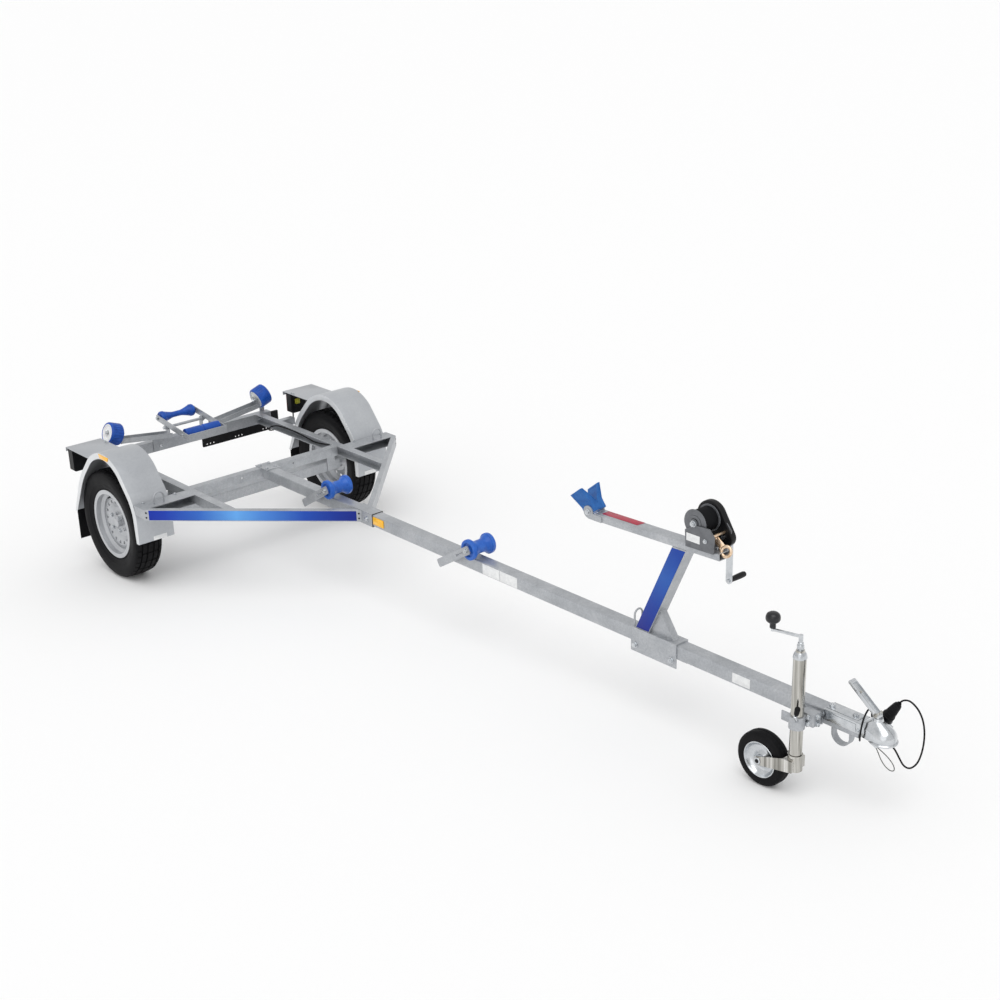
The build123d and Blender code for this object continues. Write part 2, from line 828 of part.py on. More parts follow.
# ================================================================ fenders, lamps, flaps
for side in SIDES:
    with BuildPart() as fender:
        arch_points = (
            (fender_rear_x - arch_overrun * rear_leg_slope, fender_bottom - arch_overrun),
            fender_shoulder_rear,
            fender_crown_rear,
            fender_crown_front,
            fender_shoulder_front,
            (fender_shoulder_front[0], fender_bottom - arch_overrun),
        )
        inner_face = Plane.XZ.offset(-side * fender_inner_y)
        with BuildSketch(inner_face) as arch:
            with BuildLine():
                FilletPolyline(
                    *arch_points, radius=(shoulder_fillet, crown_fillet, crown_fillet, shoulder_fillet)
                )
                Line(arch_points[-1], arch_points[0])
            make_face()
        extrude(arch.sketch, amount=-side * fender_width)
        with BuildSketch(inner_face.offset(-side * fender_sheet)) as under:
            with BuildLine():
                FilletPolyline(
                    *arch_points, radius=(shoulder_fillet, crown_fillet, crown_fillet, shoulder_fillet)
                )
                Line(arch_points[-1], arch_points[0])
            make_face()
            offset(amount=-fender_sheet)
        extrude(under.sketch, amount=-side * (fender_width - 2 * fender_sheet), mode=Mode.SUBTRACT)
        with BuildSketch(inner_face) as mouth:
            with BuildLine():
                FilletPolyline(
                    *arch_points, radius=(shoulder_fillet, crown_fillet, crown_fillet, shoulder_fillet)
                )
                Line(arch_points[-1], arch_points[0])
            make_face()
            offset(amount=-fender_flange)
        extrude(mouth.sketch, amount=-side * fender_width, mode=Mode.SUBTRACT)
        with Locations((0, side * fender_mid_y, fender_bottom)):
            Box(
                4 * fender_shoulder_front[0],
                2 * fender_width,
                2 * arch_overrun,
                align=(Align.CENTER, Align.CENTER, Align.MAX),
                mode=Mode.SUBTRACT,
            )
        with Locations((shelf_rear, side * fender_mid_y, shelf_top)):
            Box(
                shelf_front - shelf_rear,
                fender_width,
                shelf_sheet,
                align=(Align.MIN, Align.CENTER, Align.MAX),
            )
            Box(shelf_sheet, fender_width, shelf_skirt, align=(Align.MIN, Align.CENTER, Align.MAX))
    store(fender.part, f"fender_{side_name(side)}")

    with BuildPart() as tail_lamp:
        with BuildSketch(Plane.YZ.offset(shelf_rear + shelf_sheet)):
            with Locations(
                (side * (fender_outer_y - lamp_inset - lamp_width / 2), shelf_top - shelf_sheet)
            ):
                Rectangle(lamp_width, lamp_height, align=(Align.CENTER, Align.MAX))
        extrude(amount=lamp_depth)
        fillet(tail_lamp.edges().filter_by(Axis.X).group_by(Axis.Z)[0], lamp_corner)
    store(tail_lamp.part, f"tail_lamp_{side_name(side)}")

    with BuildPart() as mudflap:
        with BuildSketch(Plane.XZ.offset(-side * (fender_inner_y + flap_inset))):
            flap_head_x = fender_rear_x + (flap_top - fender_bottom) * rear_leg_slope
            with BuildLine():
                Polyline(
                    (fender_rear_x, flap_bottom),
                    (fender_rear_x, fender_bottom),
                    (flap_head_x, flap_top),
                    (flap_head_x - flap_thickness, flap_top),
                    (fender_rear_x - flap_thickness, fender_bottom),
                    (fender_rear_x - flap_thickness, flap_bottom),
                    close=True,
                )
            make_face()
        extrude(amount=-side * (fender_width - 2 * flap_inset))
    store(mudflap.part, f"mudflap_{side_name(side)}")

# ================================================================ rear crossmember and its rollers
rear_back = rear_front_face - rear_depth
with BuildPart() as rear_crossmember:
    with BuildSketch(Plane.XZ.offset(-rear_half_length)):
        with Locations((rear_front_face, frame_top)):
            Rectangle(rear_depth, rear_height, align=(Align.MAX, Align.MAX))
        with Locations((rear_front_face - rear_wall, frame_top - rear_height / 2)):
            Rectangle(
                rear_depth,
                rear_height - 2 * rear_wall,
                align=(Align.MAX, Align.CENTER),
                mode=Mode.SUBTRACT,
            )
    extrude(amount=2 * rear_half_length)
    for side in SIDES:
        with Locations((rear_back, side * tab_inner_y, frame_top)):
            Box(
                tab_plate,
                tab_length,
                tab_height,
                align=(Align.MIN, Align.MIN if side > 0 else Align.MAX, Align.MIN),
            )
        with Locations((cradle_pivot_x, side * (cradle_half_width - cradle_plate - ear_gap), frame_top)):
            Box(
                ear_width,
                ear_plate,
                cradle_pivot_z - frame_top,
                align=(Align.CENTER, Align.MAX if side > 0 else Align.MIN, Align.MIN),
            )
        ear_face = Plane.XZ.offset(-side * (cradle_half_width - cradle_plate - ear_gap))
        with BuildSketch(ear_face):
            with Locations((cradle_pivot_x, cradle_pivot_z)):
                Circle(ear_width / 2)
        extrude(amount=side * ear_plate)
    with BuildSketch(Plane.XZ.offset(-cradle_half_width - ear_gap)):
        with Locations((cradle_pivot_x, cradle_pivot_z)):
            Circle(cradle_pin_radius)
    extrude(amount=2 * (cradle_half_width + ear_gap))
store(rear_crossmember.part, "rear_crossmember")

with BuildPart() as number_plate_holder:
    with BuildSketch(Plane.YZ.offset(rear_back - plate_holder_thickness)):
        with Locations(
            ((plate_holder_left + plate_holder_right) / 2, (plate_holder_top + plate_holder_bottom) / 2)
        ):
            RectangleRounded(
                plate_holder_left - plate_holder_right, plate_holder_top - plate_holder_bottom, plate_corner
            )
        for first_y in plate_slot_starts:
            for number in range(plate_slot_count):
                with Locations(
                    (first_y + number * plate_slot_pitch, plate_holder_bottom + plate_slot_rise)
                ):
                    Circle(plate_slot_radius, mode=Mode.SUBTRACT)
    extrude(amount=plate_holder_thickness)
store(number_plate_holder.part, "number_plate_holder")

for side in SIDES:
    roller_normal = (0, side * cos(radians(side_roller_tilt)), sin(radians(side_roller_tilt)))
    roller_plane = Plane(
        origin=(side_roller_x, side * side_roller_y, side_roller_z), x_dir=(1, 0, 0), z_dir=roller_normal
    )
    # Outward from the roller's middle is +z of this plane; its y axis points along the bracket.
    down_sign = -1 if roller_plane.y_dir.Z > 0 else 1
    plate_far = side_roller_half + side_plate_gap + side_plate
    with BuildPart() as roller_arm:
        slope = radians(arm_slope)
        run = arm_outer_y - arm_inner_y
        channel_plane = Plane(
            origin=(side_roller_x, side * arm_inner_y, arm_inner_z),
            x_dir=(-side, 0, 0),
            z_dir=(0, side * cos(slope), sin(slope)),
        )
        with BuildSketch(channel_plane):
            with Locations((0, 0)):
                Rectangle(arm_channel, arm_height, align=(Align.CENTER, Align.MIN))
            with Locations((0, arm_sheet)):
                Rectangle(
                    arm_channel - 2 * arm_sheet,
                    arm_height,
                    align=(Align.CENTER, Align.MIN),
                    mode=Mode.SUBTRACT,
                )
        extrude(amount=run / cos(slope))
        with Locations((side_roller_x - arm_channel / 2, side * arm_inner_y, foot_bottom)):
            Box(
                foot_plate,
                foot_length,
                arm_inner_z + arm_height - foot_bottom,
                align=(Align.MAX, Align.MIN if side > 0 else Align.MAX, Align.MIN),
            )
        with BuildSketch(roller_plane.offset(-plate_far)):
            with Locations((0, -down_sign * (side_plate_rise - side_plate_drop) / 2)):
                Rectangle(side_plate_width, side_plate_rise + side_plate_drop)
        extrude(amount=side_plate)
        with BuildSketch(roller_plane.offset(-plate_far)):
            Circle(side_pin_radius)
        extrude(amount=plate_far + side_roller_half + side_plate_gap)
    store(roller_arm.part, f"roller_arm_{side_name(side)}")

    with BuildPart() as side_roller:
        with BuildSketch(roller_plane.offset(-side_roller_half)):
            Circle(side_roller_radius)
            Circle(side_pin_radius + running_clearance, mode=Mode.SUBTRACT)
        extrude(amount=2 * side_roller_half)
        fillet(
            side_roller.edges().filter_by(GeomType.CIRCLE).sort_by(SortBy.RADIUS)[-2:], side_roller_edge
        )
    store(side_roller.part, f"side_roller_{side_name(side)}")

# ---------------------------------------------------------------- rocking cradle
cradle_line = Plane(
    origin=(cradle_pivot_x, 0, cradle_pivot_z + cradle_line_rise),
    x_dir=(cos(radians(cradle_slope)), 0, -sin(radians(cradle_slope))),
    z_dir=(0, -1, 0),
)
cradle_inner = cradle_half_width - cradle_plate
with BuildPart() as cradle:
    for side in SIDES:
        plate_face = cradle_line.offset(-side * cradle_half_width)
        with BuildSketch(plate_face):
            with Locations(((cradle_front_reach - cradle_rear_reach) / 2, 0)):
                RectangleRounded(cradle_front_reach + cradle_rear_reach, cradle_height, cradle_corner)
        extrude(amount=side * cradle_plate)
        with BuildSketch(Plane.XZ.offset(-side * cradle_half_width)):
            with Locations((cradle_pivot_x, cradle_pivot_z)):
                Circle(cradle_lug_radius)
            with Locations((cradle_pivot_x, cradle_pivot_z)):
                Rectangle(2 * cradle_lug_radius, cradle_line_rise, align=(Align.CENTER, Align.MIN))
        extrude(amount=side * cradle_plate)
    with BuildSketch(cradle_line.offset(-cradle_half_width)):
        with Locations((cradle_front_reach, 0)):
            Rectangle(cradle_plate, cradle_web_height)
    extrude(amount=2 * cradle_half_width)
    with BuildSketch(Plane.XZ.offset(-cradle_half_width)):
        with Locations((cradle_pivot_x, cradle_pivot_z)):
            Circle(cradle_pin_radius + running_clearance)
    extrude(amount=2 * cradle_half_width, mode=Mode.SUBTRACT)
    with BuildSketch(cradle_line.offset(-cradle_half_width)):
        with Locations((-bow_roller_reach, 0), (drum_roller_reach, 0)):
            Circle(cradle_bolt_radius)
    extrude(amount=2 * cradle_half_width)
store(cradle.part, "cradle")

cradle_roller_half = cradle_inner - roller_side_gap
with BuildPart() as bow_roller:
    bow_centre = cradle_line.from_local_coords((-bow_roller_reach, 0, 0))
    section = Plane(origin=bow_centre, x_dir=(0, 1, 0), z_dir=cradle_line.x_dir)
    outward = 1 if section.y_dir.Z > 0 else -1
    with BuildSketch(section):
        with BuildLine():
            Polyline(
                (-cradle_roller_half, outward * (cradle_bolt_radius + running_clearance)),
                (-cradle_roller_half, outward * (bow_end_radius - bow_chamfer_drop)),
                (-cradle_roller_half + bow_chamfer_run, outward * bow_end_radius),
                (-cradle_roller_half + bow_drum_width, outward * bow_end_radius),
                (-bow_waist_half, outward * bow_waist_radius),
                (bow_waist_half, outward * bow_waist_radius),
                (cradle_roller_half - bow_drum_width, outward * bow_end_radius),
                (cradle_roller_half - bow_chamfer_run, outward * bow_end_radius),
                (cradle_roller_half, outward * (bow_end_radius - bow_chamfer_drop)),
                (cradle_roller_half, outward * (cradle_bolt_radius + running_clearance)),
                close=True,
            )
        make_face()
    revolve(axis=Axis(bow_centre, (0, 1, 0)))
store(bow_roller.part, "cradle_bow_roller")

with BuildPart() as drum_roller:
    with BuildSketch(cradle_line.offset(-cradle_roller_half)):
        with Locations((drum_roller_reach, 0)):
            Circle(drum_roller_radius)
            Circle(cradle_bolt_radius + running_clearance, mode=Mode.SUBTRACT)
    extrude(amount=2 * cradle_roller_half)
    fillet(drum_roller.edges().filter_by(GeomType.CIRCLE).sort_by(SortBy.RADIUS)[-2:], drum_roller_edge)
store(drum_roller.part, "cradle_drum_roller")

# ================================================================ keel rollers
keel_inner = keel_half_length + keel_roller_gap
keel_slope = radians(keel_plate_angle)
upper_bolt_z = frame_top + keel_bridge + clamp_bolt_radius - keel_bridge_bite
upper_bolt_reach = (keel_axis_z - upper_bolt_z) / sin(keel_slope)
lower_bolt_reach = (keel_axis_z - drawbar_bottom + clamp_bolt_radius) / sin(keel_slope)
keel_plate_length = keel_head_reach + lower_bolt_reach + keel_end_margin
for name, roller_x in keel_rollers:
    sloping = Plane(
        origin=(roller_x, 0, keel_axis_z), x_dir=(-cos(keel_slope), 0, -sin(keel_slope)), z_dir=(0, -1, 0)
    )
    with BuildPart() as keel_bracket:
        for side in SIDES:
            with BuildSketch(sloping.offset(-side * keel_inner)):
                with Locations((keel_plate_length / 2 - keel_head_reach, 0)):
                    RectangleRounded(keel_plate_length, keel_plate_width, keel_plate_corner)
                for number in range(keel_hole_count):
                    with Locations((keel_hole_start + keel_hole_pitch * number, 0)):
                        Circle(keel_hole_radius, mode=Mode.SUBTRACT)
            extrude(amount=-side * keel_plate)
        bridge_x = roller_x - upper_bolt_reach * cos(keel_slope)
        with Locations((bridge_x, 0, frame_top)):
            Box(
                keel_bridge_length,
                2 * keel_inner + keel_bridge_bite,
                keel_bridge,
                align=(Align.CENTER, Align.CENTER, Align.MIN),
            )
        low_x = roller_x - lower_bolt_reach * cos(keel_slope)
        with Locations((low_x + keel_end_margin, 0, drawbar_bottom)):
            Box(
                keel_bridge_length,
                2 * keel_inner + keel_bridge_bite,
                keel_bridge,
                align=(Align.CENTER, Align.CENTER, Align.MAX),
            )
        bolt_half = keel_inner + keel_plate + keel_bolt_reach
        with BuildSketch(Plane.XZ.offset(-bolt_half)):
            with Locations((bridge_x, upper_bolt_z)):
                Circle(clamp_bolt_radius)
        extrude(amount=2 * bolt_half)
        with BuildSketch(Plane.XZ.offset(-bolt_half)):
            with Locations((roller_x, keel_axis_z)):
                Circle(keel_pin_radius)
        extrude(amount=2 * bolt_half)
    store(keel_bracket.part, f"keel_bracket_{name}")

    with BuildPart() as keel_roller:
        keel_section = Plane(origin=(roller_x, 0, keel_axis_z), x_dir=(0, 1, 0), z_dir=(1, 0, 0))
        flange_inner = keel_half_length - keel_flange_width
        with BuildSketch(keel_section):
            with BuildLine():
                Polyline(
                    (-keel_half_length, keel_pin_radius + running_clearance),
                    (-keel_half_length, keel_flange_radius - keel_chamfer),
                    (-keel_half_length + keel_chamfer, keel_flange_radius),
                    (-flange_inner - keel_chamfer, keel_flange_radius),
                    (-flange_inner, keel_shoulder_radius),
                    (-keel_waist_half, keel_waist_radius),
                    (keel_waist_half, keel_waist_radius),
                    (flange_inner, keel_shoulder_radius),
                    (flange_inner + keel_chamfer, keel_flange_radius),
                    (keel_half_length - keel_chamfer, keel_flange_radius),
                    (keel_half_length, keel_flange_radius - keel_chamfer),
                    (keel_half_length, keel_pin_radius + running_clearance),
                    close=True,
                )
            make_face()
        revolve(axis=Axis((roller_x, 0, keel_axis_z), (0, 1, 0)))
    store(keel_roller.part, f"keel_roller_{name}")

# ================================================================ winch post
saddle_outer = drawbar_half + post_saddle_plate
with BuildPart() as post_saddle:
    with Locations((post_saddle_rear, 0, frame_top)):
        Box(
            post_saddle_length,
            2 * saddle_outer,
            post_saddle_plate,
            align=(Align.MIN, Align.CENTER, Align.MIN),
        )
    for side in SIDES:
        with Locations((post_saddle_rear, side * drawbar_half, frame_top + post_saddle_plate)):
            Box(
                post_saddle_length,
                post_saddle_plate,
                frame_top + post_saddle_plate - post_saddle_bottom,
                align=(Align.MIN, Align.MIN if side > 0 else Align.MAX, Align.MAX),
            )
    for bolt_x in (
        post_saddle_rear + post_bolt_inset, post_saddle_rear + post_saddle_length - post_bolt_inset
    ):
        with BuildSketch(Plane.XZ.offset(-saddle_outer - post_bolt_reach)):
            with Locations((bolt_x, drawbar_bottom - post_bolt_drop)):
                Circle(post_bolt_radius)
        extrude(amount=2 * (saddle_outer + post_bolt_reach))
    loop_x = post_saddle_rear + loop_wire
    with BuildLine(Plane.YZ.offset(loop_x)) as loop_path:
        loop_foot = frame_top + post_saddle_plate - root_depth
        loop_shoulder = frame_top + loop_height - loop_half_span
        Line((-loop_half_span, loop_foot), (-loop_half_span, loop_shoulder))
        ThreePointArc(
            (-loop_half_span, loop_shoulder), (0, frame_top + loop_height), (
                loop_half_span, loop_shoulder
            )
        )
        Line((loop_half_span, loop_shoulder), (loop_half_span, loop_foot))
    with BuildSketch(Plane(origin=loop_path.line @ 0, z_dir=loop_path.line % 0)):
        Circle(loop_wire / 2)
    sweep(path=loop_path.line)
store(post_saddle.part, "post_saddle")

lean = radians(post_lean)
post_foot_z = frame_top + post_saddle_plate
beam_tilt = radians(beam_slope)
beam_frame = Plane(
    origin=(beam_middle_x, 0, beam_middle_z), x_dir=(0, 1, 0), z_dir=(cos(beam_tilt), 0, sin(beam_tilt))
)
with BuildPart() as winch_post:
    foot_half = post_depth / cos(lean) / 2
    post_rise = beam_middle_z - post_foot_z
    slide = post_rise * sin(lean) / cos(lean)
    with BuildSketch(Plane.XZ.offset(-post_size / 2)):
        with BuildLine():
            Polyline(
                (post_foot_x - foot_half, post_foot_z),
                (post_foot_x + foot_half, post_foot_z),
                (post_foot_x + foot_half + slide, post_foot_z + post_rise),
                (post_foot_x - foot_half + slide, post_foot_z + post_rise),
                close=True,
            )
        make_face()
    extrude(amount=post_size)
    beam_under = beam_middle_z - beam_height / cos(beam_tilt)
    with BuildSketch(Plane.XZ.offset(-post_size)):
        with BuildLine():
            Polyline(
                (beam_middle_x - far_cut, beam_under - far_cut * sin(beam_tilt) / cos(beam_tilt)),
                (beam_middle_x + far_cut, beam_under + far_cut * sin(beam_tilt) / cos(beam_tilt)),
                (beam_middle_x + far_cut, beam_middle_z + far_cut),
                (beam_middle_x - far_cut, beam_middle_z + far_cut),
                close=True,
            )
        make_face()
    extrude(amount=2 * post_size, mode=Mode.SUBTRACT)
    with BuildSketch(Plane.XZ.offset(-gusset_width / 2)):
        with BuildLine():
            gusset_foot = post_foot_x + foot_half
            Polyline(
                (gusset_foot - gusset_lip, post_foot_z),
                (gusset_foot + gusset_run, post_foot_z),
                (gusset_foot + gusset_rise * sin(lean) / cos(lean), post_foot_z + gusset_rise),
                (
                    gusset_foot + gusset_rise * sin(lean) / cos(lean) - gusset_lip,
                    post_foot_z + gusset_rise,
                ),
                close=True,
            )
        make_face()
    extrude(amount=gusset_width)
store(winch_post.part, "winch_post")

with BuildPart() as snubber_beam:
    with BuildSketch(beam_frame.offset(-beam_rear_reach)):
        with Locations((0, -beam_height / 2 if beam_frame.y_dir.Z > 0 else beam_height / 2)):
            RectangleRounded(beam_width, beam_height, beam_wall)
            Rectangle(beam_width - 2 * beam_wall, beam_height - 2 * beam_wall, mode=Mode.SUBTRACT)
    extrude(amount=beam_rear_reach + beam_front_reach)
    ear_run = beam_middle_x - beam_rear_reach + ear_overlap - ear_bolt_x
    for side in SIDES:
        with BuildSketch(Plane.XZ.offset(-side * beam_width / 2)):
            with Locations((ear_bolt_x, ear_bolt_z)):
                Circle(snubber_ear_radius)
            with Locations(
                (ear_bolt_x, beam_middle_z - beam_rear_reach * sin(beam_tilt) - beam_height / 2)
            ):
                Rectangle(ear_run, snubber_ear_height, align=(Align.MIN, Align.CENTER))
        extrude(amount=-side * snubber_ear_plate)
        with BuildSketch(Plane.XZ.offset(-side * (beam_width / 2 + snubber_ear_plate))):
            with Locations((ear_bolt_x, ear_bolt_z)):
                RegularPolygon(snubber_bolt_radius, 6)
        extrude(amount=-side * snubber_bolt_height)
store(snubber_beam.part, "snubber_beam")

with BuildPart() as bow_snubber:
    snubber_axis = radians(snubber_lean)
    snubber_plane = Plane(
        origin=(snubber_x, 0, snubber_z),
        x_dir=(0, 1, 0),
        z_dir=(-cos(snubber_axis), 0, -sin(snubber_axis)),
    )
    up = 1 if snubber_plane.y_dir.Z > 0 else -1
    snubber_base_half = beam_width / 2
    with BuildSketch(snubber_plane.offset(-snubber_thickness / 2)):
        with BuildLine():
            Polyline(
                (-snubber_base_half, 0),
                (snubber_base_half, 0),
                (snubber_base_half, up * snubber_base_height),
                (snubber_tip_half, up * snubber_length),
                (snubber_tip_half - snubber_tip_wall, up * snubber_length),
                (0, up * snubber_notch),
                (-snubber_tip_half + snubber_tip_wall, up * snubber_length),
                (-snubber_tip_half, up * snubber_length),
                (-snubber_base_half, up * snubber_base_height),
                close=True,
            )
        make_face()
    extrude(amount=snubber_thickness)
store(bow_snubber.part, "bow_snubber")

# ---------------------------------------------------------------- winch
winch_outer = winch_half_width + winch_plate


def beam_top_at(x):
    """Height of the beam's upper face above the level ground at x."""
    return beam_middle_z + (x - beam_middle_x) * sin(beam_tilt) / cos(beam_tilt)


winch_base_front = beam_middle_x + (beam_front_reach - winch_base_inset) * cos(beam_tilt)
with BuildPart() as winch_frame:
    with BuildSketch(Plane.XZ.offset(-winch_outer)):
        with BuildLine():
            Polyline(
                (winch_base_rear, beam_top_at(winch_base_rear)),
                (winch_base_front, beam_top_at(winch_base_front)),
                *winch_cheek[::-1],
                close=True,
            )
        make_face()
    extrude(amount=2 * winch_outer)
    with BuildSketch(Plane.XZ.offset(-winch_half_width)):
        with BuildLine():
            Polyline(
                (winch_base_rear - far_cut, beam_top_at(winch_base_rear - far_cut) + winch_plate),
                (winch_base_front + far_cut, beam_top_at(winch_base_front + far_cut) + winch_plate),
                (winch_base_front + far_cut, beam_middle_z + far_cut),
                (winch_base_rear - far_cut, beam_middle_z + far_cut),
                close=True,
            )
        make_face()
    extrude(amount=2 * winch_half_width, mode=Mode.SUBTRACT)
    with BuildSketch(Plane.XZ.offset(-winch_half_width - winch_plate)):
        with Locations((winch_x, winch_z)):
            Circle(drum_bush_radius)
    extrude(amount=winch_plate)
    with BuildSketch(Plane.XZ.offset(-winch_half_width - winch_plate)):
        with Locations((winch_x, winch_z)):
            Circle(drum_pin_radius)
    extrude(amount=2 * winch_outer)
    with BuildSketch(Plane.XZ.offset(winch_half_width)):
        with Locations((winch_x, winch_z)):
            Circle(drum_bush_radius)
    extrude(amount=winch_plate)
    with BuildSketch(Plane.XZ.offset(-winch_half_width - winch_plate)):
        with Locations((input_x, input_z)):
            Circle(input_radius + running_clearance)
    extrude(amount=2 * winch_plate, mode=Mode.SUBTRACT)
store(winch_frame.part, "winch_frame")

drum_half = winch_half_width - drum_side_gap
drum_rings = (
    (-drum_half, drum_flange, drum_flange_radius),
    (drum_half - drum_flange, drum_flange, drum_flange_radius),
)
strap_rings = ((-drum_half + drum_flange, 2 * (drum_half - drum_flange), strap_radius),)
for label, rings in (("winch_drum", drum_rings), ("winch_strap", strap_rings)):
    with BuildPart() as winding:
        for ring_y, ring_width, ring_radius in rings:
            with BuildSketch(Plane.XZ.offset(-ring_y)):
                with Locations((winch_x, winch_z)):
                    Circle(ring_radius)
            extrude(amount=-ring_width)
        if label == "winch_drum":
            with BuildSketch(Plane.XZ.offset(-drum_half)):
                with Locations((winch_x, winch_z)):
                    Circle(drum_core_radius)
            extrude(amount=2 * drum_half)
        with BuildSketch(Plane.XZ.offset(-drum_half)):
            with Locations((winch_x, winch_z)):
                Circle(drum_pin_radius + running_clearance if label == "winch_drum" else drum_core_radius)
        extrude(amount=2 * drum_half, mode=Mode.SUBTRACT)
    store(winding.part, label)

with BuildPart() as winch_cover:
    with BuildSketch(Plane.XZ.offset(-winch_outer)):
        with Locations((winch_x, winch_z)):
            Circle(cover_drum_radius)
        with Locations((input_x, input_z)):
            Circle(cover_input_radius)
        make_hull()
        with Locations((input_x, input_z)):
            Circle(input_radius + running_clearance, mode=Mode.SUBTRACT)
    extrude(amount=-cover_depth)
store(winch_cover.part, "winch_cover")

crank_inner = winch_outer + cover_depth + side_gap
with BuildPart() as winch_crank:
    with BuildSketch(Plane.XZ.offset(-crank_inner)):
        with Locations((input_x, input_z)):
            Circle(crank_arm_width / 2)
        with Locations((input_x, input_z - crank_arm_length)):
            Circle(crank_arm_width / 2)
        make_hull()
    extrude(amount=-crank_arm_thickness)
    with BuildSketch(Plane.XZ.offset(-winch_half_width + crank_shaft_inset)):
        with Locations((input_x, input_z)):
            Circle(input_radius)
    extrude(amount=-(crank_inner - winch_half_width + crank_shaft_inset))
store(winch_crank.part, "winch_crank")

with BuildPart() as winch_grip:
    with BuildSketch(Plane.XZ.offset(-crank_inner - crank_arm_thickness)):
        with Locations((input_x, input_z - crank_arm_length)):
            Circle(grip_radius)
    extrude(amount=-grip_length)
    fillet(winch_grip.edges().filter_by(GeomType.CIRCLE).sort_by(Axis.Y)[-1:], grip_edge)
store(winch_grip.part, "winch_grip")

cheek_nose = winch_cheek[4]
hook_top = (cheek_nose[0] - hook_back, cheek_nose[1] - hook_drop)
hook_tip = (hook_top[0] + hook_reach, hook_top[1] - hook_fall)
with BuildPart() as winch_hook:
    hook_run = hypot(hook_tip[0] - hook_top[0], hook_tip[1] - hook_top[1])
    hook_angle = degrees(atan2(hook_tip[1] - hook_top[1], hook_tip[0] - hook_top[0]))
    hook_middle = ((hook_top[0] + hook_tip[0]) / 2, (hook_top[1] + hook_tip[1]) / 2)
    with BuildSketch(Plane.XZ.offset(-hook_wire / 2)):
        with Locations(hook_middle):
            SlotCenterToCenter(hook_run, 2 * hook_radius + hook_wire, rotation=hook_angle)
            SlotCenterToCenter(
                hook_run, 2 * hook_radius - hook_wire, rotation=hook_angle, mode=Mode.SUBTRACT
            )
    extrude(amount=hook_wire)
    with BuildSketch(Plane.XZ.offset(-winch_half_width)):
        with Locations((hook_top[0] - hook_bar_back, hook_top[1] + hook_bar_rise)):
            Circle(hook_bar_radius)
    extrude(amount=2 * winch_half_width)
store(winch_hook.part, "winch_hook")

# ================================================================ coupling
plug_axis = (sin(radians(plug_lean)), 0, cos(radians(plug_lean)))
plug_plane = Plane(origin=(plug_x, plug_y, plug_z), x_dir=(0, 1, 0), z_dir=plug_axis)
with BuildPart() as coupling_body:
    body_half = drawbar_half + coupling_wall
    with Locations((coupling_rear, 0, frame_top)):
        Box(
            neck_end - coupling_rear, 2 * body_half, coupling_wall, align=(
                Align.MIN, Align.CENTER, Align.MIN
            )
        )
    for side in SIDES:
        with Locations((coupling_rear, side * drawbar_half, frame_top)):
            Box(
                neck_end - coupling_rear,
                coupling_wall,
                coupling_skirt,
                align=(Align.MIN, Align.MIN if side > 0 else Align.MAX, Align.MAX),
            )
    with Locations((drawbar_front, 0, frame_top + coupling_wall)):
        Box(
            ball_x - drawbar_front,
            2 * body_half,
            coupling_skirt + coupling_wall,
            align=(Align.MIN, Align.CENTER, Align.MAX),
        )
    with Locations((ball_x, 0, head_centre_z)):
        Sphere(head_radius)
    with Locations((lever_low[0], 0, head_centre_z)):
        Cylinder(
            head_boss_radius,
            head_boss_top - head_centre_z,
            align=(Align.CENTER, Align.CENTER, Align.MIN),
        )
    with Locations((ball_x, 0, head_bottom)):
        Box(
            4 * head_radius,
            4 * head_radius,
            4 * head_radius,
            align=(Align.CENTER, Align.CENTER, Align.MAX),
            mode=Mode.SUBTRACT,
        )
    with Locations((ball_x, 0, ball_z)):
        Sphere(ball_radius + socket_clearance, mode=Mode.SUBTRACT)
        Cylinder(
            ball_radius + socket_clearance,
            ball_z - head_bottom + 1,
            align=(Align.CENTER, Align.CENTER, Align.MAX),
            mode=Mode.SUBTRACT,
        )
    for number in range(2):
        with BuildSketch(Plane.XY.offset(frame_top + coupling_wall)):
            with Locations((coupling_rear + neck_bolt_inset + number * neck_bolt_pitch, 0)):
                RegularPolygon(neck_bolt_radius, 6)
        extrude(amount=neck_bolt_height)
    with BuildSketch(plug_plane.offset(-holder_depth - holder_floor)):
        Circle(holder_radius)
        with Locations((-(plug_y - body_half) / 2, 0)):
            Rectangle(plug_y - body_half, holder_arm)
    extrude(amount=holder_floor)
    with BuildSketch(plug_plane.offset(-holder_depth)):
        Circle(holder_radius)
        Circle(holder_bore, mode=Mode.SUBTRACT)
    extrude(amount=holder_depth)
store(coupling_body.part, "coupling_body")

with BuildPart() as coupling_lever:
    lever_run = hypot(lever_high[0] - lever_low[0], lever_high[1] - lever_low[1])
    lever_angle = degrees(atan2(lever_high[1] - lever_low[1], lever_high[0] - lever_low[0]))
    with BuildSketch(Plane.XZ.offset(-lever_width / 2)):
        with Locations(((lever_high[0] + lever_low[0]) / 2, (lever_high[1] + lever_low[1]) / 2)):
            SlotCenterToCenter(lever_run, lever_thickness, rotation=lever_angle)
        with Locations((lever_low[0], head_boss_top)):
            Rectangle(lever_stem, lever_low[1] - head_boss_top, align=(Align.CENTER, Align.MIN))
    extrude(amount=lever_width)
store(coupling_lever.part, "coupling_lever")

# ================================================================ plug, cord, cable and wiring
with BuildPart() as plug:
    with BuildSketch(plug_plane):
        Circle(plug_radius)
    extrude(amount=plug_length, taper=degrees(atan2(plug_radius - plug_tail_radius, plug_length)))
    with BuildSketch(plug_plane.offset(plug_length)):
        Circle(plug_neck_radius)
    extrude(amount=plug_neck)
    with BuildSketch(plug_plane.offset(-plug_nose)):
        Circle(plug_nose_radius)
    extrude(amount=plug_nose)
store(plug.part, "plug")


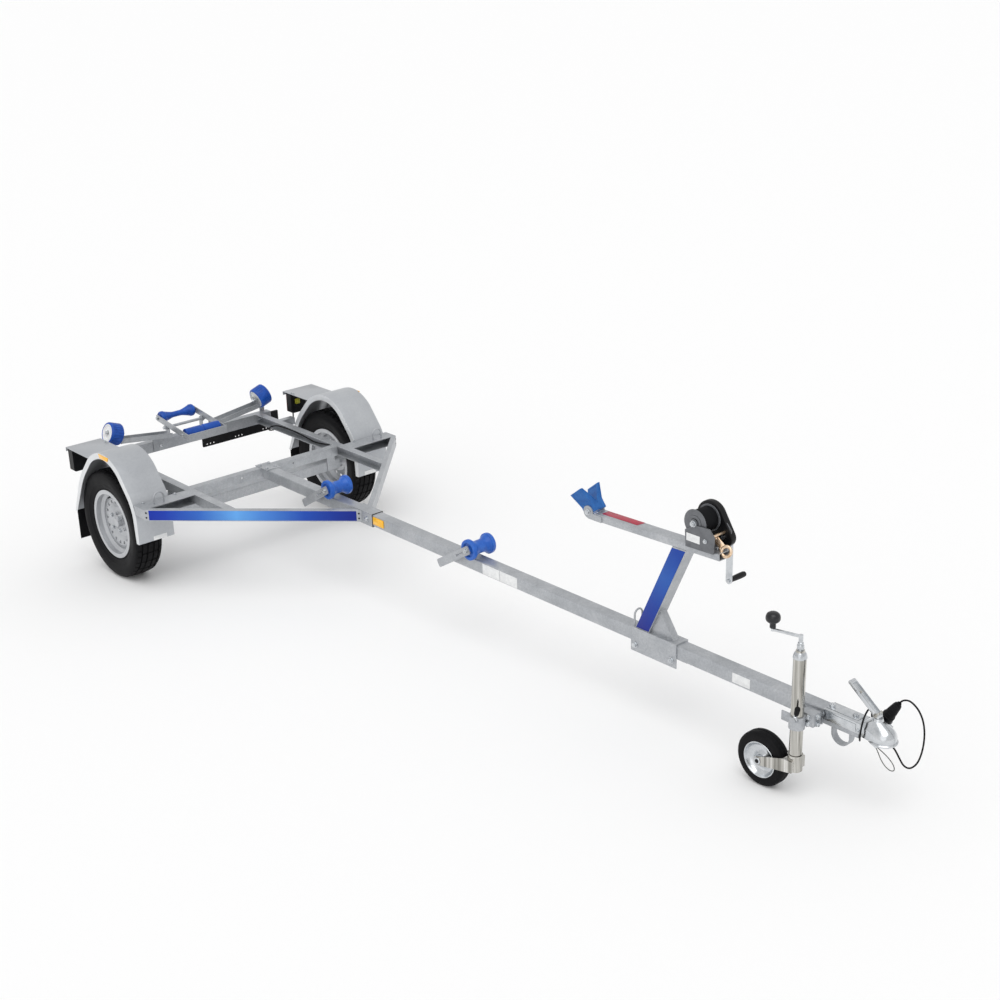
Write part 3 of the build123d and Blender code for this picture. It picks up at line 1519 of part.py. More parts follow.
def widest_arcs(route):
    """Radius at each inner point of a route: as large as its two runs allow."""
    points = [Vector(*point) for point in route]
    radii = []
    for before, here, after in zip(points, points[1:], points[2:]):
        run_in, run_out = here - before, after - here
        half_turn = radians(run_in.get_angle(run_out)) / 2
        radii.append(arc_share * min(run_in.length, run_out.length) * cos(half_turn) / sin(half_turn))
    return radii


tail_end = plug_length + plug_neck
cord_ends = tuple(
    tuple(plug_plane.from_local_coords((0, 0, reach))) for reach in (tail_end + cord_lead, tail_end)
)
tubes = (
    ("plug_cord", cord_route + cord_ends, cord_diameter),
    ("safety_cable", cable_route, cable_diameter),
    ("lamp_wiring", wiring_route, wire_diameter),
)
for label, route, diameter in tubes:
    radii = widest_arcs(route)
    with BuildPart() as tube:
        with BuildLine() as path:
            FilletPolyline(*route, radius=radii)
        with BuildSketch(Plane(origin=path.line @ 0, z_dir=path.line % 0)):
            Circle(diameter / 2)
        sweep(path=path.line)
    route_length = path.wire().length
    full = pi * (diameter / 2) ** 2 * route_length
    print(label, "length", round(route_length, 1), "volume share", round(tube.part.volume / full, 4))
    print("  radii", [round(radius, 1) for radius in radii])
    store(tube.part, label)

with BuildPart() as cable_ferrule:
    ferrule_axis = Vector(*ferrule_end) - Vector(*ferrule_start)
    with BuildSketch(Plane(origin=ferrule_start, x_dir=(0, 1, 0), z_dir=ferrule_axis)):
        RectangleRounded(ferrule_thickness, ferrule_width, ferrule_corner)
    extrude(amount=ferrule_axis.length)
store(cable_ferrule.part, "cable_ferrule")

# ================================================================ jockey wheel
with BuildPart() as jockey_clamp:
    ring_outer = mast_radius + clamp_ring
    with BuildSketch(Plane.XY.offset(clamp_bottom)):
        with Locations((jockey_x, jockey_y)):
            Circle(ring_outer)
        with Locations((jockey_x, jockey_y)):
            Rectangle(ring_outer, -drawbar_half - jockey_y, align=(Align.CENTER, Align.MIN))
        with Locations((jockey_x, jockey_y)):
            Circle(mast_radius + slide_clearance, mode=Mode.SUBTRACT)
    extrude(amount=clamp_height)
    with Locations((jockey_x, -drawbar_half, clamp_bottom + clamp_height / 2)):
        Box(clamp_length, clamp_plate, clamp_height, align=(Align.CENTER, Align.MAX, Align.CENTER))
store(jockey_clamp.part, "jockey_clamp")

with BuildPart() as jockey_mast:
    with BuildSketch(Plane.XY.offset(mast_bottom)):
        with Locations((jockey_x, jockey_y)):
            Circle(mast_radius)
    extrude(amount=mast_top - mast_bottom)
    with BuildSketch(Plane.XY.offset(mast_top)):
        with Locations((jockey_x, jockey_y)):
            Circle(mast_radius)
    extrude(amount=mast_cap_rise, taper=mast_cap_taper)
    with BuildSketch(Plane.XY.offset(mast_bottom + bush_height)):
        with Locations((jockey_x, jockey_y)):
            Circle(mast_radius - mast_wall)
    extrude(amount=mast_top - mast_top_wall - mast_bottom - bush_height, mode=Mode.SUBTRACT)
    with BuildSketch(Plane.XY.offset(mast_bottom - 1)):
        with Locations((jockey_x, jockey_y)):
            Circle(leg_radius + leg_clearance)
    extrude(amount=bush_height + 2, mode=Mode.SUBTRACT)
    with BuildSketch(Plane.XY.offset(mast_top - mast_top_wall - 1)):
        with Locations((jockey_x, jockey_y)):
            Circle(crank_neck + running_clearance)
    extrude(amount=mast_top_wall + mast_cap_rise + 2, mode=Mode.SUBTRACT)
store(jockey_mast.part, "jockey_mast")

crank_bottom = mast_top - mast_top_wall + 1
crank_arm_z = mast_top + crank_rise
with BuildPart() as jockey_crank:
    with BuildSketch(Plane.XY.offset(crank_bottom)):
        with Locations((jockey_x, jockey_y)):
            Circle(crank_neck)
    extrude(amount=crank_arm_z + crank_rod - crank_bottom)
    crank_end_x = jockey_x - crank_reach * cos(radians(crank_turn))
    crank_end_y = jockey_y - crank_reach * sin(radians(crank_turn))
    with BuildSketch(
        Plane(
            origin=(jockey_x, jockey_y, crank_arm_z),
            z_dir=(crank_end_x - jockey_x, crank_end_y - jockey_y, 0),
        )
    ):
        Circle(crank_rod)
    extrude(amount=crank_reach)
    with BuildSketch(Plane.XY.offset(crank_arm_z - crank_rod)):
        with Locations((crank_end_x, crank_end_y)):
            Circle(crank_rod)
    extrude(amount=knob_stem + crank_rod)
store(jockey_crank.part, "jockey_crank")

with BuildPart() as jockey_knob:
    with BuildSketch(Plane.XY.offset(crank_arm_z + knob_stem)):
        with Locations((crank_end_x, crank_end_y)):
            Circle(knob_radius)
    extrude(amount=knob_height)
    fillet(jockey_knob.edges().filter_by(GeomType.CIRCLE).sort_by(Axis.Z)[-1:], knob_edge)
store(jockey_knob.part, "jockey_knob")

spindle = leg_radius - leg_wall
leg_foot = mast_bottom - leg_showing
with BuildPart() as jockey_leg:
    with BuildSketch(Plane.XY.offset(leg_foot)):
        with Locations((jockey_x, jockey_y)):
            Circle(leg_radius)
            Circle(spindle + leg_clearance, mode=Mode.SUBTRACT)
    extrude(amount=leg_top - leg_foot)
    with BuildSketch(Plane.XY.offset(leg_top - leg_bush)):
        with Locations((jockey_x, jockey_y)):
            Circle(mast_radius - mast_wall - leg_clearance)
            Circle(leg_radius - 1, mode=Mode.SUBTRACT)
    extrude(amount=leg_bush)
store(jockey_leg.part, "jockey_leg")

fork_inner = jockey_half_width + fork_gap
fork_outer = fork_inner + fork_plate
crown_length = fork_crown_rear + fork_crown_front
with BuildPart() as jockey_fork:
    with BuildSketch(Plane.XY.offset(fork_bottom)):
        with Locations((jockey_x, jockey_y)):
            Circle(fork_collar_radius)
    extrude(amount=leg_foot - face_gap - fork_bottom)
    with BuildSketch(Plane.XY.offset(fork_bottom)):
        with Locations((jockey_x, jockey_y)):
            Circle(spindle)
    extrude(amount=leg_foot + spindle_length - fork_bottom)
    with Locations((jockey_x - fork_crown_rear, jockey_y, fork_crown_bottom)):
        Box(
            crown_length,
            2 * fork_outer,
            fork_crown_top - fork_crown_bottom,
            align=(Align.MIN, Align.CENTER, Align.MIN),
        )
    for side in SIDES:
        with BuildSketch(Plane.XZ.offset(-jockey_y - side * fork_inner)):
            with Locations((jockey_hub_x, jockey_hub_z)):
                Circle(fork_eye_radius)
            with Locations((jockey_x - fork_crown_rear, fork_crown_bottom)):
                Rectangle(crown_length, fork_crown_top - fork_crown_bottom, align=(Align.MIN, Align.MIN))
            make_hull()
        extrude(amount=-side * fork_plate)
    with BuildSketch(Plane.XZ.offset(-jockey_y + fork_outer)):
        with Locations((jockey_hub_x, jockey_hub_z)):
            Circle(jockey_axle_radius)
    extrude(amount=-2 * fork_outer)
store(jockey_fork.part, "jockey_fork")

jockey_section = Plane(origin=(jockey_hub_x, jockey_y, jockey_hub_z), x_dir=(0, 1, 0), z_dir=(1, 0, 0))
with BuildPart() as jockey_tyre:
    with BuildSketch(jockey_section):
        with BuildLine():
            Polyline(
                (jockey_half_width - jockey_bead, jockey_rim_radius),
                (-jockey_half_width + jockey_bead, jockey_rim_radius),
                (-jockey_half_width, jockey_rim_radius + jockey_wall_step),
                (-jockey_half_width, jockey_radius - jockey_edge),
            )
            ThreePointArc(
                (-jockey_half_width, jockey_radius - jockey_edge),
                (-jockey_half_width + jockey_edge_point, jockey_radius - jockey_edge_drop),
                (-jockey_half_width + jockey_tread_step, jockey_radius),
            )
            Line(
                (-jockey_half_width + jockey_tread_step, jockey_radius),
                (jockey_half_width - jockey_tread_step, jockey_radius),
            )
            ThreePointArc(
                (jockey_half_width - jockey_tread_step, jockey_radius),
                (jockey_half_width - jockey_edge_point, jockey_radius - jockey_edge_drop),
                (jockey_half_width, jockey_radius - jockey_edge),
            )
            Polyline(
                (jockey_half_width, jockey_radius - jockey_edge),
                (jockey_half_width, jockey_rim_radius + jockey_wall_step),
                (jockey_half_width - jockey_bead, jockey_rim_radius),
            )
        make_face()
    revolve(axis=Axis((jockey_hub_x, jockey_y, jockey_hub_z), (0, 1, 0)))
store(jockey_tyre.part, "jockey_tyre")

with BuildPart() as jockey_rim:
    with BuildSketch(jockey_section):
        with Locations((0, jockey_rim_radius - jockey_rim_sheet)):
            Rectangle(
                2 * (jockey_half_width - jockey_bead), jockey_rim_sheet, align=(Align.CENTER, Align.MIN)
            )
        with Locations((0, jockey_axle_radius + running_clearance)):
            Rectangle(
                2 * jockey_hub_half,
                jockey_hub_radius - jockey_axle_radius - running_clearance,
                align=(Align.CENTER, Align.MIN),
            )
            Rectangle(
                jockey_rim_sheet,
                jockey_rim_radius - jockey_axle_radius - running_clearance - 1,
                align=(Align.CENTER, Align.MIN),
            )
    revolve(axis=Axis((jockey_hub_x, jockey_y, jockey_hub_z), (0, 1, 0)))
store(jockey_rim.part, "jockey_rim")

# ================================================================ export
loose = ("plug_cord", "plug", "safety_cable", "cable_ferrule")
boxes = [piece.bounding_box() for label, piece in pieces.items() if label not in loose]
low_x = min(box.min.X for box in boxes)
high_x = max(box.max.X for box in boxes)
low_z = min(box.min.Z for box in boxes)
to_origin = Location((-(low_x + high_x) / 2, 0, -low_z))
for label, piece in pieces.items():
    placed = piece.moved(to_origin)
    placed.label = label
    export_step(placed, f"parts/{label}.step")
print("nose drop", round(nose_drop, 5), "shift", round(-(low_x + high_x) / 2, 4), round(-low_z, 5))
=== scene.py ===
"""Boat trailer: the looks of the parked trailer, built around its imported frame.

Every mesh is drawn in level millimetres (+X forward, +Y left, +Z up, x = 0 on the wheel
axis, z = 0 on the ground under it) and then turned nose down with the whole trailer.
"""
import logging
import math
from dataclasses import dataclass
from enum import Enum
from typing import Iterable, Sequence

import bmesh
import bpy
from mathutils import Matrix, Vector


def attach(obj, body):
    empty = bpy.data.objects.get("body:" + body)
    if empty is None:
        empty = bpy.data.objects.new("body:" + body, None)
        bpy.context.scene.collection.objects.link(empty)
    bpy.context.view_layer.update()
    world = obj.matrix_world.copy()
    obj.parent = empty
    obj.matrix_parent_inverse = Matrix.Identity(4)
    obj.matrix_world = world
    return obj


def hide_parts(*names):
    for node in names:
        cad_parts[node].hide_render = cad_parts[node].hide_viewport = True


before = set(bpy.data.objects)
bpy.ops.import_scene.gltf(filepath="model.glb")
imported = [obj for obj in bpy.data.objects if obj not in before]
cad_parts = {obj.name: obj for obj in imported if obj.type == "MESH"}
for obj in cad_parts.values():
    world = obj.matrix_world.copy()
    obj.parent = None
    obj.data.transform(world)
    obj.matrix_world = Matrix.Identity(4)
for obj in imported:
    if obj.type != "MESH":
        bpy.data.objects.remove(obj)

LOG = logging.getLogger("trailer")
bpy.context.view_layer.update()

MM = 0.001
NOSE_DROP = math.radians(2.24607)
SHIFT_X = -1837.5801
WHEEL_RADIUS = 289.0
TURN = Matrix.Rotation(NOSE_DROP, 4, "Y")
PARKED = (
    Matrix.Scale(MM, 4)
    @ Matrix.Translation((SHIFT_X, 0, WHEEL_RADIUS))
    @ TURN
    @ Matrix.Translation((0, 0, -WHEEL_RADIUS))
)
SIDES = (("right", -1), ("left", 1))
FORWARD, BACK, LEFT, RIGHT, UP = (1, 0, 0), (-1, 0, 0), (0, 1, 0), (0, -1, 0), (0, 0, 1)
# Parking holder of the plug, on the coupling's left: its mouth and the way it leans.
HOLDER_AT, HOLDER_LEAN = (4166.0, 66.0, 503.0), math.radians(32.0)
HOLDER_WAY = Vector((math.sin(HOLDER_LEAN), 0, math.cos(HOLDER_LEAN)))

Point = Sequence[float]
Profile = Sequence[tuple[float, float]]
Mesh = bmesh.types.BMesh


# ---------------------------------------------------------------- colour and nodes
def linear(code: str) -> tuple[float, float, float, float]:
    """Turn an sRGB hex code into linear colour.

    Args:
        code: Six hex digits after a hash.

    Returns:
        Red, green, blue and alpha, linear.
    """
    channels = [int(code[i:i + 2], 16) / 255 for i in (1, 3, 5)]
    red, green, blue = (c / 12.92 if c <= 0.04045 else ((c + 0.055) / 1.055) ** 2.4
                        for c in channels)
    return red, green, blue, 1.0


def add_node(tree: bpy.types.NodeTree, kind: str, settings: dict | None = None,
             links: dict | None = None) -> bpy.types.Node:
    """Add one node with its settings and incoming links.

    Args:
        tree: The material's or world's tree.
        kind: Blender's node type name.
        settings: Attribute names, or input names or numbers, and their values. "stops" are a
            colour ramp's positions and hex colours.
        links: Input names or numbers and the output socket that feeds each.

    Returns:
        The new node.
    """
    node = tree.nodes.new(kind)
    for key, value in (settings or {}).items():
        if key == "stops":
            elements = node.color_ramp.elements
            while len(elements) < len(value):
                elements.new(0.5)
            for element, (position, code) in zip(elements, value):
                element.position, element.color = position, linear(code)
        elif isinstance(key, int) or key in node.inputs:
            node.inputs[key].default_value = value
        else:
            setattr(node, key, value)
    for key, socket in (links or {}).items():
        tree.links.new(socket, node.inputs[key])
    return node


@dataclass(frozen=True)
class Finish:
    """A surface: colour variation, gloss variation and fine relief, all from real sizes."""

    name: str
    stops: tuple[tuple[float, str], ...]
    roughness: tuple[float, float]
    metallic: float = 0.0
    cloud_mm: float = 120.0
    grain_mm: float = 2.0
    relief_mm: float = 0.05
    spangle_mm: float = 0.0
    spangle_share: float = 0.25
    coat: float = 0.0
    ior: float = 1.5
    subsurface: float = 0.0
    stretch: tuple[float, float, float] = (1.0, 1.0, 1.0)
    fade: tuple[tuple[float, str], ...] = ()
    fade_from: Point = (0.0, 0.0, 0.0)
    fade_to: Point = (1.0, 0.0, 0.0)

    def material(self) -> bpy.types.Material:
        """Build the material once and return it."""
        found = bpy.data.materials.get(self.name)
        if found:
            return found
        made = bpy.data.materials.new(self.name)
        made.use_nodes = True
        tree = made.node_tree
        shader = tree.nodes["Principled BSDF"]
        shader.inputs["Metallic"].default_value = self.metallic
        shader.inputs["Coat Weight"].default_value = self.coat
        if not self.metallic:
            shader.inputs["IOR"].default_value = self.ior
        shader.inputs["Subsurface Weight"].default_value = self.subsurface
        shader.inputs["Subsurface Scale"].default_value = 3 * MM
        place = add_node(tree, "ShaderNodeTexCoord").outputs["Object"]
        place = add_node(tree, "ShaderNodeMapping", {"Scale": self.stretch}, {0: place}).outputs[0]
        cloud = add_node(
            tree, "ShaderNodeTexNoise",
            {"Scale": 1 / (self.cloud_mm * MM), "Detail": 5.0, "Roughness": 0.6},
            {"Vector": place}).outputs[0]
        grain = add_node(
            tree, "ShaderNodeTexNoise", {"Scale": 1 / (self.grain_mm * MM), "Detail": 3.0},
            {"Vector": place}).outputs[0]
        shade = cloud
        if self.spangle_mm:
            cells = add_node(tree, "ShaderNodeTexVoronoi", {"Scale": 1 / (self.spangle_mm * MM)},
                             {"Vector": place}).outputs["Color"]
            grey = add_node(tree, "ShaderNodeRGBToBW", links={0: cells}).outputs[0]
            shade = add_node(tree, "ShaderNodeMix", {0: self.spangle_share},
                             {2: cloud, 3: grey}).outputs[0]
        colour = add_node(tree, "ShaderNodeValToRGB", {"stops": self.stops}, {0: shade}).outputs[0]
        if self.fade:
            start = PARKED @ Vector(self.fade_from)
            run = Vector(self.fade_to) - Vector(self.fade_from)
            way = (TURN @ run) / (run.length_squared * MM)
            moved = add_node(tree, "ShaderNodeVectorMath", {"operation": "SUBTRACT", 1: start},
                             {0: add_node(tree, "ShaderNodeTexCoord").outputs["Object"]}).outputs[0]
            share = add_node(tree, "ShaderNodeVectorMath", {"operation": "DOT_PRODUCT", 1: way},
                             {0: moved}).outputs["Value"]
            along = add_node(tree, "ShaderNodeValToRGB", {"stops": self.fade},
                             {0: share}).outputs[0]
            colour = add_node(
                tree, "ShaderNodeMix", {"data_type": "RGBA", "blend_type": "MULTIPLY", 0: 1.0},
                {6: colour, 7: along}).outputs[2]
        tree.links.new(colour, shader.inputs["Base Color"])
        low, high = self.roughness
        gloss = add_node(tree, "ShaderNodeMapRange", {1: 0.3, 2: 0.7, 3: low, 4: high},
                         {0: shade}).outputs[0]
        tree.links.new(gloss, shader.inputs["Roughness"])
        if self.relief_mm:
            bump = add_node(
                tree, "ShaderNodeBump", {"Strength": 0.6, "Distance": self.relief_mm * MM},
                {"Height": grain})
            tree.links.new(bump.outputs[0], shader.inputs["Normal"])
        return made


# Hot-dip galvanised steel: zinc crystals a few millimetres across give a cloudy, softly gloss grey.
GALVANISED = Finish(
    "galvanised_steel", ((0.3, "#9DA0A4"), (0.5, "#AEB1B5"), (0.7, "#C0C2C5")), (0.36, 0.48),
    metallic=0.6, cloud_mm=140, grain_mm=2.5, relief_mm=0.03, spangle_mm=6, spangle_share=0.22)
# Pressed steel sheet under a smoother zinc coat: paler and more even than the frame.
SHEET_ZINC = Finish(
    "zinc_coated_sheet", ((0.25, "#A9ACB1"), (0.5, "#B5B8BC"), (0.75, "#C1C4C7")), (0.3, 0.4),
    metallic=0.45, cloud_mm=300, grain_mm=3, relief_mm=0.02, spangle_mm=8, spangle_share=0.12)
# The same sheet on the fender's flanges with a painted highlight: its colour is brightened for the
# light that falls on them, and it is glossier.
PAINTED_HIGHLIGHT_ZINC = Finish(
    "zinc_sheet_painted_highlight", ((0.25, "#CFD1D3"), (0.5, "#D8DADC"), (0.75, "#E0E2E3")), (0.26, 0.34),
    metallic=0.3, cloud_mm=200, grain_mm=3, relief_mm=0.02)
# Electroplated zinc, bright: even bluish silver with clear reflections.
BRIGHT_ZINC = Finish(
    "bright_zinc_plate", ((0.25, "#B5B9BD"), (0.55, "#D0D3D6"), (0.8, "#E2E4E6")), (0.16, 0.28),
    metallic=1.0, cloud_mm=35, grain_mm=1.5, relief_mm=0.02)
# Nickel plated tube: warm mirror with faint drawing marks along its length.
NICKEL = Finish(
    "nickel_plated_tube",
    ((0.34, "#77756F"), (0.48, "#B4B2AC"), (0.6, "#D2D0CB"), (0.7, "#EDECE9")), (0.12, 0.22),
    metallic=1.0, cloud_mm=15, grain_mm=1.5, relief_mm=0.01, stretch=(1.0, 1.0, 0.02))
# Yellow passivated zinc: pale gold with greenish clouds.
YELLOW_ZINC = Finish(
    "yellow_zinc_plate", ((0.3, "#CFAC88"), (0.5, "#E4C8AA"), (0.75, "#F3E0CC")), (0.2, 0.32),
    metallic=0.85, cloud_mm=14, grain_mm=1.0, relief_mm=0.02)
# Silver lacquer on a pressed wheel: fine metal flake, satin.
WHEEL_LACQUER = Finish(
    "silver_wheel_lacquer", ((0.3, "#B2B4B7"), (0.5, "#BABCBF"), (0.7, "#C2C4C7")), (0.3, 0.36),
    metallic=0.5, cloud_mm=80, grain_mm=1.0, relief_mm=0.005, coat=0.15)
# Vulcanised tyre rubber: nearly black, dull, finely pitted.
TYRE_RUBBER = Finish(
    "radial_tyre_rubber", ((0.3, "#0B0B0D"), (0.6, "#111113"), (0.8, "#19191C")), (0.5, 0.62),
    cloud_mm=70, grain_mm=1.6, relief_mm=0.08, ior=1.22)
# Moulded rubber sheet and sleeves.
SOFT_RUBBER = Finish(
    "moulded_rubber", ((0.3, "#0C0C0E"), (0.6, "#121214"), (0.8, "#1A1A1D")), (0.45, 0.6),
    cloud_mm=60, grain_mm=2.0, relief_mm=0.06, ior=1.25)
# Cast polyurethane rollers: saturated blue, waxy gloss that light enters a little.
ROYAL_BLUE = Finish(
    "polyurethane_royal_blue", ((0.3, "#0F4298"), (0.55, "#174EAB"), (0.8, "#2460BE")),
    (0.3, 0.42), cloud_mm=30, grain_mm=1.4, relief_mm=0.03, ior=1.4)
LIGHT_BLUE = Finish(
    "polyurethane_light_blue", ((0.3, "#1F53AC"), (0.55, "#2A62BD"), (0.8, "#3A74CA")),
    (0.26, 0.38), cloud_mm=30, grain_mm=1.4, relief_mm=0.03, ior=1.4)
# The bow block's rubber: duller and a little greener than the rollers.
BLOCK_BLUE = Finish(
    "bow_block_rubber", ((0.3, "#1C5396"), (0.55, "#2662A8"), (0.8, "#3472B6")), (0.34, 0.46),
    cloud_mm=30, grain_mm=1.4, relief_mm=0.03, ior=1.35)
# White moulded hub disc.
HUB_WHITE = Finish(
    "white_polyamide", ((0.3, "#D9DADC"), (0.6, "#E8E9EA"), (0.8, "#F1F1F2")), (0.34, 0.46),
    cloud_mm=20, grain_mm=1.0, relief_mm=0.02, subsurface=0.05)
# Moulded black plastic with a fine spark-eroded texture.
BLACK_PLASTIC = Finish(
    "moulded_black_plastic", ((0.3, "#0D0D0F"), (0.6, "#131315"), (0.8, "#1B1B1E")), (0.36, 0.46),
    cloud_mm=50, grain_mm=0.9, relief_mm=0.03, ior=1.32)
# Grey enamel on the winch plates.
WINCH_ENAMEL = Finish(
    "grey_winch_enamel", ((0.3, "#5A5C60"), (0.5, "#686A6E"), (0.8, "#787A7E")), (0.36, 0.48),
    metallic=0.25, cloud_mm=40, grain_mm=1.2, relief_mm=0.04)
# Printed vinyl, white and red, with the faint mottle of handling.
WHITE_VINYL = Finish(
    "white_vinyl_label", ((0.3, "#DADBDC"), (0.6, "#EAEBEB"), (0.8, "#F2F2F2")), (0.3, 0.42),
    cloud_mm=18, grain_mm=1.2, relief_mm=0.01)
RED_VINYL = Finish(
    "red_vinyl_label", ((0.3, "#9C2238"), (0.6, "#AC2C42"), (0.8, "#B83C50")), (0.3, 0.42),
    cloud_mm=25, grain_mm=1.2, relief_mm=0.01)
# Twisted stainless strand: fine diagonal wires, bright.
STEEL_STRAND = Finish(
    "steel_wire_strand", ((0.3, "#4A4B48"), (0.5, "#63645F"), (0.8, "#7E7F7A")), (0.3, 0.4),
    metallic=1.0, cloud_mm=6, grain_mm=1.2, relief_mm=0.1)
# Injection-moulded knob with a polished skin.
GLOSS_PLASTIC = Finish(
    "polished_black_plastic", ((0.3, "#0F1012"), (0.6, "#15161A"), (0.8, "#1D1E22")), (0.18, 0.28),
    cloud_mm=30, grain_mm=2.0, relief_mm=0.01)
# Woven polyester webbing: the weave is drawn a little coarse so that it shows.
WEBBING = Finish(
    "woven_polyester_webbing", ((0.3, "#0A0B0D"), (0.55, "#101114"), (0.8, "#191A1E")),
    (0.68, 0.82), cloud_mm=9, grain_mm=2.2, relief_mm=0.3, stretch=(1.0, 2.5, 1.0), ior=1.25)
# Moulded reflector and lamp plastics: clear-coated colour with a prism grain under it.
AMBER_REFLECTOR = Finish(
    "amber_prism_reflector", ((0.3, "#F0A400"), (0.5, "#F8B80F"), (0.75, "#FFCB33")), (0.16, 0.24),
    cloud_mm=8, grain_mm=2.0, relief_mm=0.05, coat=0.6)
RED_LENS = Finish(
    "red_lamp_lens", ((0.3, "#8F0D12"), (0.5, "#A81218"), (0.75, "#C01C22")), (0.12, 0.2),
    cloud_mm=10, grain_mm=2.5, relief_mm=0.08, coat=0.7)
AMBER_LENS = Finish(
    "amber_lamp_lens", ((0.3, "#D97208"), (0.5, "#E8840F"), (0.75, "#F29A2A")), (0.12, 0.2),
    cloud_mm=10, grain_mm=2.5, relief_mm=0.08, coat=0.7)
CLEAR_LENS = Finish(
    "clear_lamp_lens", ((0.3, "#C9CCD0"), (0.5, "#D8DADD"), (0.75, "#E6E8EA")), (0.1, 0.18),
    cloud_mm=10, grain_mm=2.5, relief_mm=0.08, coat=0.7)
# Yellow-green nylon of the lamp sockets.
SOCKET_NYLON = Finish(
    "yellow_nylon_socket", ((0.3, "#9C9A2C"), (0.5, "#B4B136"), (0.75, "#C8C54C")), (0.34, 0.44),
    cloud_mm=12, grain_mm=1.2, relief_mm=0.02)
# Printed film whose blue runs from dark at both ends to pale near its middle.
FILM_WHITE = ((0.3, "#F4F4F6"), (0.6, "#FAFAFB"), (0.8, "#FFFFFF"))
BRACE_SHADES = ((0.0, "#0E2C9E"), (0.1, "#1A3CAC"), (0.26, "#3468C2"), (0.43, "#64A6E8"),
                (0.56, "#4882D2"), (0.74, "#204CB0"), (0.88, "#163496"), (1.0, "#102284"))
BRACE_PANEL = Finish(
    "brace_film", FILM_WHITE, (0.3, 0.4), cloud_mm=60, grain_mm=2, relief_mm=0.01, ior=1.3,
    fade=BRACE_SHADES, fade_from=(440.0, -785.0, 470.0), fade_to=(1215.0, -33.0, 470.0))
POST_PANEL = Finish(
    "post_film", FILM_WHITE, (0.3, 0.4), cloud_mm=60, grain_mm=2, relief_mm=0.01, ior=1.3,
    fade=((0.0, "#1A2A8C"), (0.3, "#20429E"), (0.65, "#305EB0"), (1.0, "#2448A2")),
    fade_from=(3085.0, 0.0, 516.0), fade_to=(3260.0, 0.0, 896.0))


# ---------------------------------------------------------------- mesh work
class Head(Enum):
    """Bolt heads and nuts: distance across the flats, height, radius of the washer."""

    AF10 = (10.0, 4.0, 8.0)
    AF11 = (11.0, 4.0, 8.0)
    AF13 = (13.0, 5.0, 9.0)
    AF13_SLIM = (13.0, 5.0, 8.0)
    AF13_TALL = (13.0, 6.0, 9.0)
    AF15 = (15.0, 6.0, 10.0)
    AF17 = (17.0, 7.0, 11.0)
    AF17_TALL = (17.0, 8.0, 11.0)
    AF19 = (19.0, 8.0, 13.0)
    AF19_SLIM = (19.0, 8.0, 12.0)
    AF19_TALL = (19.0, 9.0, 13.0)
    AF19_WHEEL = (19.0, 11.0, 11.5)
    AF21 = (21.0, 9.0, 15.0)


WASHER_THICKNESS = 1.8
BOLT_END = 2.2
CRISP_ANGLE = 32.0


def aimed(at: Point, along: Point, spin: float = 0.0) -> Matrix:
    """Matrix that puts a shape's own z axis along a direction at a point.

    Args:
        at: Where the origin goes, in level millimetres.
        along: Direction of the shape's z axis.
        spin: Turn about that axis first, in degrees.

    Returns:
        The placing matrix.
    """
    turn = Vector(along).to_track_quat("Z", "Y").to_matrix().to_4x4()
    return Matrix.Translation(at) @ turn @ Matrix.Rotation(math.radians(spin), 4, "Z")


def soften(bm: Mesh, edges: Iterable[bmesh.types.BMEdge], width: float,
           segments: int = 2) -> None:
    """Round some edges of a shape.

    Args:
        bm: The mesh.
        edges: Edges to round.
        width: Bevel width in millimetres.
        segments: Steps round the bevel.
    """
    bmesh.ops.bevel(bm, geom=list(edges), offset=width, segments=segments, profile=0.5,
                    material=-1, affect="EDGES", clamp_overlap=True)


def block(bm: Mesh, low: Point, high: Point, edge: float = 1.0,
          matrix: Matrix | None = None) -> None:
    """Add a block with rounded edges.

    Args:
        bm: The mesh.
        low: Lowest corner.
        high: Highest corner.
        edge: Width of the rounding.
        matrix: Placing matrix, or none.
    """
    low, high = Vector(low), Vector(high)
    made = bmesh.ops.create_cube(bm, size=1.0)["verts"]
    move = Matrix.Translation((low + high) / 2) @ Matrix.Diagonal((*(high - low), 1.0))
    bmesh.ops.transform(bm, matrix=move, verts=made)
    if matrix is not None:
        bmesh.ops.transform(bm, matrix=matrix, verts=made)
    soften(bm, {e for v in made for e in v.link_edges}, edge)


def flank(bm: Mesh, side: int, low: Point, high: Point, edge: float = 1.0) -> None:
    """Add a rounded block on one side; its y values are distances out from the middle."""
    near, far = sorted((side * low[1], side * high[1]))
    block(bm, (low[0], near, low[2]), (high[0], far, high[2]), edge)


def rod(bm: Mesh, start: Point, end: Point, radius: float, steps: int = 24,
        edge: float = 0.0, end_radius: float | None = None) -> None:
    """Add a round bar or a cone between two points.

    Args:
        bm: The mesh.
        start: Middle of the first end.
        end: Middle of the other end.
        radius: Radius at the start.
        steps: Facets round the bar.
        edge: Rounding of the rims.
        end_radius: Radius at the other end, if it differs.
    """
    start, end = Vector(start), Vector(end)
    made = bmesh.ops.create_cone(
        bm, cap_ends=True, segments=steps, radius1=radius,
        radius2=radius if end_radius is None else end_radius, depth=(end - start).length)["verts"]
    bmesh.ops.transform(bm, matrix=aimed((start + end) / 2, end - start), verts=made)
    if edge:
        rims = {e for v in made for e in v.link_edges
                if any(len(f.verts) > 4 for f in e.link_faces)}
        soften(bm, rims, edge)


